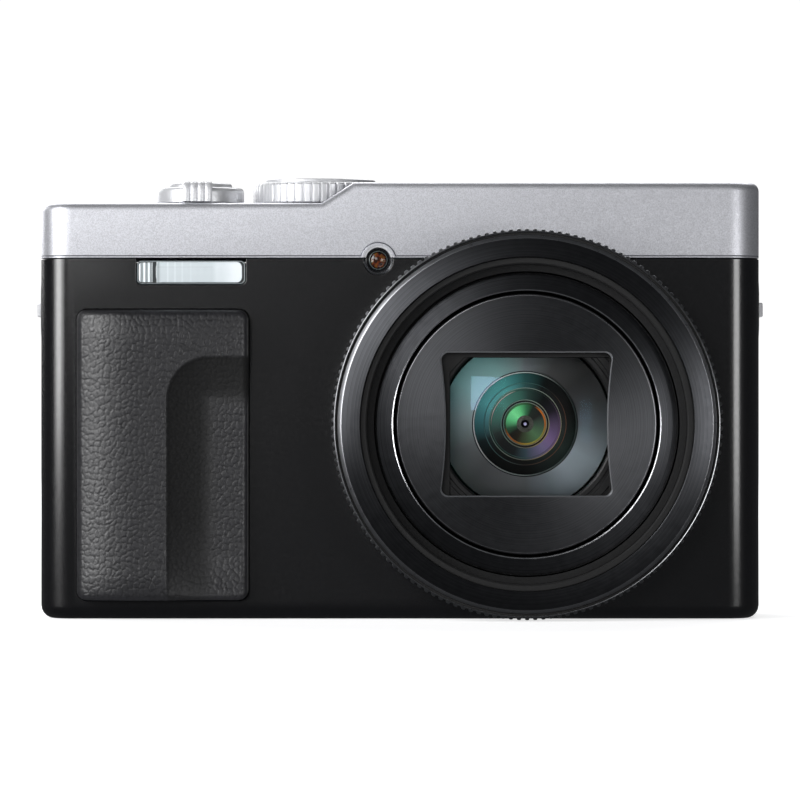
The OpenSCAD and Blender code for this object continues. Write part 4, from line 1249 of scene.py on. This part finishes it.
def build_finder():
    carried("finder_eyepiece", 0.35, "camera_body", rubber())
    low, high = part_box("finder_lens")
    extent = (low[0] / MM, high[0] / MM, low[2] / MM, high[2] / MM)
    back = low[1] / MM
    top = high[1] / MM

    def bulge(x, z):
        across = (x - (extent[0] + extent[1]) / 2) / (extent[1] - extent[0]) * 2
        up = (z - (extent[2] + extent[3]) / 2) / (extent[3] - extent[2]) * 2
        return top - 0.5 * across ** 2 - 0.4 * up ** 2

    lens = relief_panel("finder_glass", extent, 1.1, 0.2, bulge, back)
    look = Look("finder_glass", tone(18, 24, 30), 0.05, Coat_Weight=1.0, Metallic=0.3)
    look.paint(look.noise(0.3), 0.2)
    look.bump(look.noise(0.2), 0.0005)
    finish(lens, "camera_body", look.material, ("finder_lens",), angle=50)


def build_diopter():
    ribs = teeth(28, 2.3, 2.5, width=0.55, soft=0.22)
    profile = [(0, 14.65), (3.2, 14.65), (3.2, 15.45), (1.5, 15.45), (1.5, 15.75), (2.2, 15.75),
               (ribs, 15.85), (ribs, 17.65), (2.25, 17.85), (2.0, 17.88), (1.7, 17.8), (0, 17.76)]
    piece = lathe("diopter_wheel", profile, DIOPTER, "y", 28 * 10, closed=False)
    finish(piece, "diopter_dial", coloured("diopter_black", tone(36, 36, 39), 0.45, grain=6.0),
           ("diopter_dial",), angle=32)


def build_base():
    carried("battery_door", 0.2, "battery_door", moulded_black())
    carried("door_latch", 0.15, "door_latch", coloured("latch_grey", tone(66, 67, 70), 0.45))
    carried("tripod_socket", 0.15, "camera_body", bright_metal("socket_brass", tone(186, 160, 104), 0.3))
    metal_parts = (
        ("screws", 0.06, coloured("screw_black", tone(52, 52, 55), 0.32, metallic=0.8)),
        ("hinge_pins", 0.05, bright_metal("pin_steel", tone(168, 170, 174), 0.3)),
        ("screen_bracket", 0.08, bright_metal("bracket_steel", tone(120, 122, 126), 0.35)),
    )
    for node, width, material in metal_parts:
        carried(node, width, "camera_body", material, segments=2)


build_top_controls()
build_rear_dial()
build_set_button()
for key, (key_x, key_z) in {"play_button": (-46.8, 35.2), "display_button": (-28.2, 35.2),
                            "menu_button": (-46.8, 7.4), "delete_button": (-28.2, 7.4)}.items():
    build_rear_button(key, key_x, key_z, KEY_ICONS[key])
build_screen()
build_finder()
build_diopter()
build_base()


# ---------------------------------------------------------------- inside pieces that stay as CAD nodes

def build_inside():
    """Materials for the CAD nodes that show as they are."""
    board = Look("circuit_board", tone(24, 74, 46), 0.4)
    board.colors(board.cells(0.9), [(0.2, tone(18, 62, 38)), (0.5, tone(30, 92, 56)),
                                    (0.8, tone(150, 130, 70))])
    board.bump(board.cells(0.9), 0.05)
    steel = bright_metal("chassis_steel", tone(150, 152, 156), 0.34)
    black = flat_black("inner_black")
    looks = {
        "main_board": board.material, "top_board": board.material, "chassis": steel, "sensor_mount": steel,
        "zoom_motor": bright_metal("motor_can", tone(188, 190, 193), 0.28), "shutter_spring": steel,
        "flash_unit": bright_metal("reflector", tone(232, 236, 238), 0.16),
        "flash_capacitor": coloured("capacitor_sleeve", tone(30, 34, 66), 0.35),
        "zoom_lens_group": black, "focus_lens_group": black, "battery_bay": black, "finder_housing": black,
        "image_sensor": coloured("sensor_glass", tone(34, 40, 58), 0.08, metallic=0.5),
        "battery": coloured("battery_wrap", tone(38, 40, 46), 0.4),
        "memory_card": coloured("card_blue", tone(34, 46, 74), 0.45),
    }
    for name, material in looks.items():
        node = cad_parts[name]
        node.data.materials.clear()
        node.data.materials.append(material)


build_inside()


# ---------------------------------------------------------------- studio

def build_floor():
    """A plain pale floor that keeps a faint contact shadow."""
    reach = 4000
    floor = add_object("studio_floor", [(-reach, -reach, 0), (reach, -reach, 0), (reach, reach, 0),
                                        (-reach, reach, 0)], [[0, 1, 2, 3]])
    look = Look("pale_floor", tone(236, 236, 238), 0.9)
    far = look.distance_from((0, 0, 0), (1, 1, 0))
    look.set("Emission Strength", look.span(far, 0.7, 1.05, 200, 700))
    look.set("Emission Color", (1, 1, 1, 1))
    look.set("Specular IOR Level", 0.1)
    floor.data.materials.append(look.material)
    floor.visible_glossy = False
    floor.visible_shadow = False


def build_world():
    """White behind the object, and a dimmer grey in everything the object reflects."""
    world = bpy.data.worlds.new("studio")
    bpy.context.scene.world = world
    world.use_nodes = True
    nodes = world.node_tree.nodes
    links = world.node_tree.links
    fill = nodes["Background"]
    fill.inputs["Color"].default_value = (0.93, 0.96, 1.0, 1)
    fill.inputs["Strength"].default_value = 0.05
    white = nodes.new("ShaderNodeBackground")
    white.inputs["Color"].default_value = (1, 1, 1, 1)
    white.inputs["Strength"].default_value = 1.05
    path = nodes.new("ShaderNodeLightPath")
    mix = nodes.new("ShaderNodeMixShader")
    links.new(path.outputs["Is Camera Ray"], mix.inputs["Fac"])
    links.new(fill.outputs["Background"], mix.inputs[1])
    links.new(white.outputs["Background"], mix.inputs[2])
    links.new(mix.outputs["Shader"], nodes["World Output"].inputs["Surface"])


def add_softbox(name, place, aim, width, height, power):
    """A rectangular light at a place, in metres, turned to face the aim."""
    light = bpy.data.lights.new(name, "AREA")
    light.shape = "RECTANGLE"
    light.size = width
    light.size_y = height
    light.energy = power
    holder = bpy.data.objects.new(name, light)
    holder.location = place
    direction = Vector(aim) - Vector(place)
    holder.rotation_euler = direction.to_track_quat("-Z", "Y").to_euler()
    bpy.context.collection.objects.link(holder)


def build_lights():
    """A broad soft light at the left with a brighter core, and dimmer ones on the other sides."""
    middle = (0, 0, 0.033)
    add_softbox("left_softbox", (-0.84, -0.64, 0.39), middle, 0.76, 0.95, 6.4)
    add_softbox("left_core", (-0.80, -0.60, 0.34), middle, 0.34, 0.82, 3.9)
    add_softbox("front_softbox", (-0.30, -1.15, 0.31), middle, 0.34, 0.32, 1.5)
    add_softbox("right_softbox", (0.64, -0.88, 0.05), middle, 0.36, 0.34, 1.9)
    add_softbox("rear_softbox", (-0.7, 1.0, 0.4), middle, 0.8, 0.6, 6.0)
    add_softbox("back_softbox", (0.0, 0.75, 0.8), middle, 1.0, 0.6, 6.0)


def build_camera():
    """Square on to the front, level with the middle of the body."""
    data = bpy.data.cameras.new("photo_camera")
    data.sensor_width = 36
    data.lens = 233.8
    data.clip_start = 0.01
    camera = bpy.data.objects.new("photo_camera", data)
    camera.location = (0, -0.8, 0.0333)
    camera.rotation_euler = (math.radians(90), 0, 0)
    bpy.context.collection.objects.link(camera)
    bpy.context.scene.camera = camera


build_floor()
build_world()
build_lights()
build_camera()
bpy.context.scene.view_settings.view_transform = "Standard"


# ---------------------------------------------------------------- plain numbers

def plain(bounds):
    return [[float(value) for value in corner] for corner in bounds]
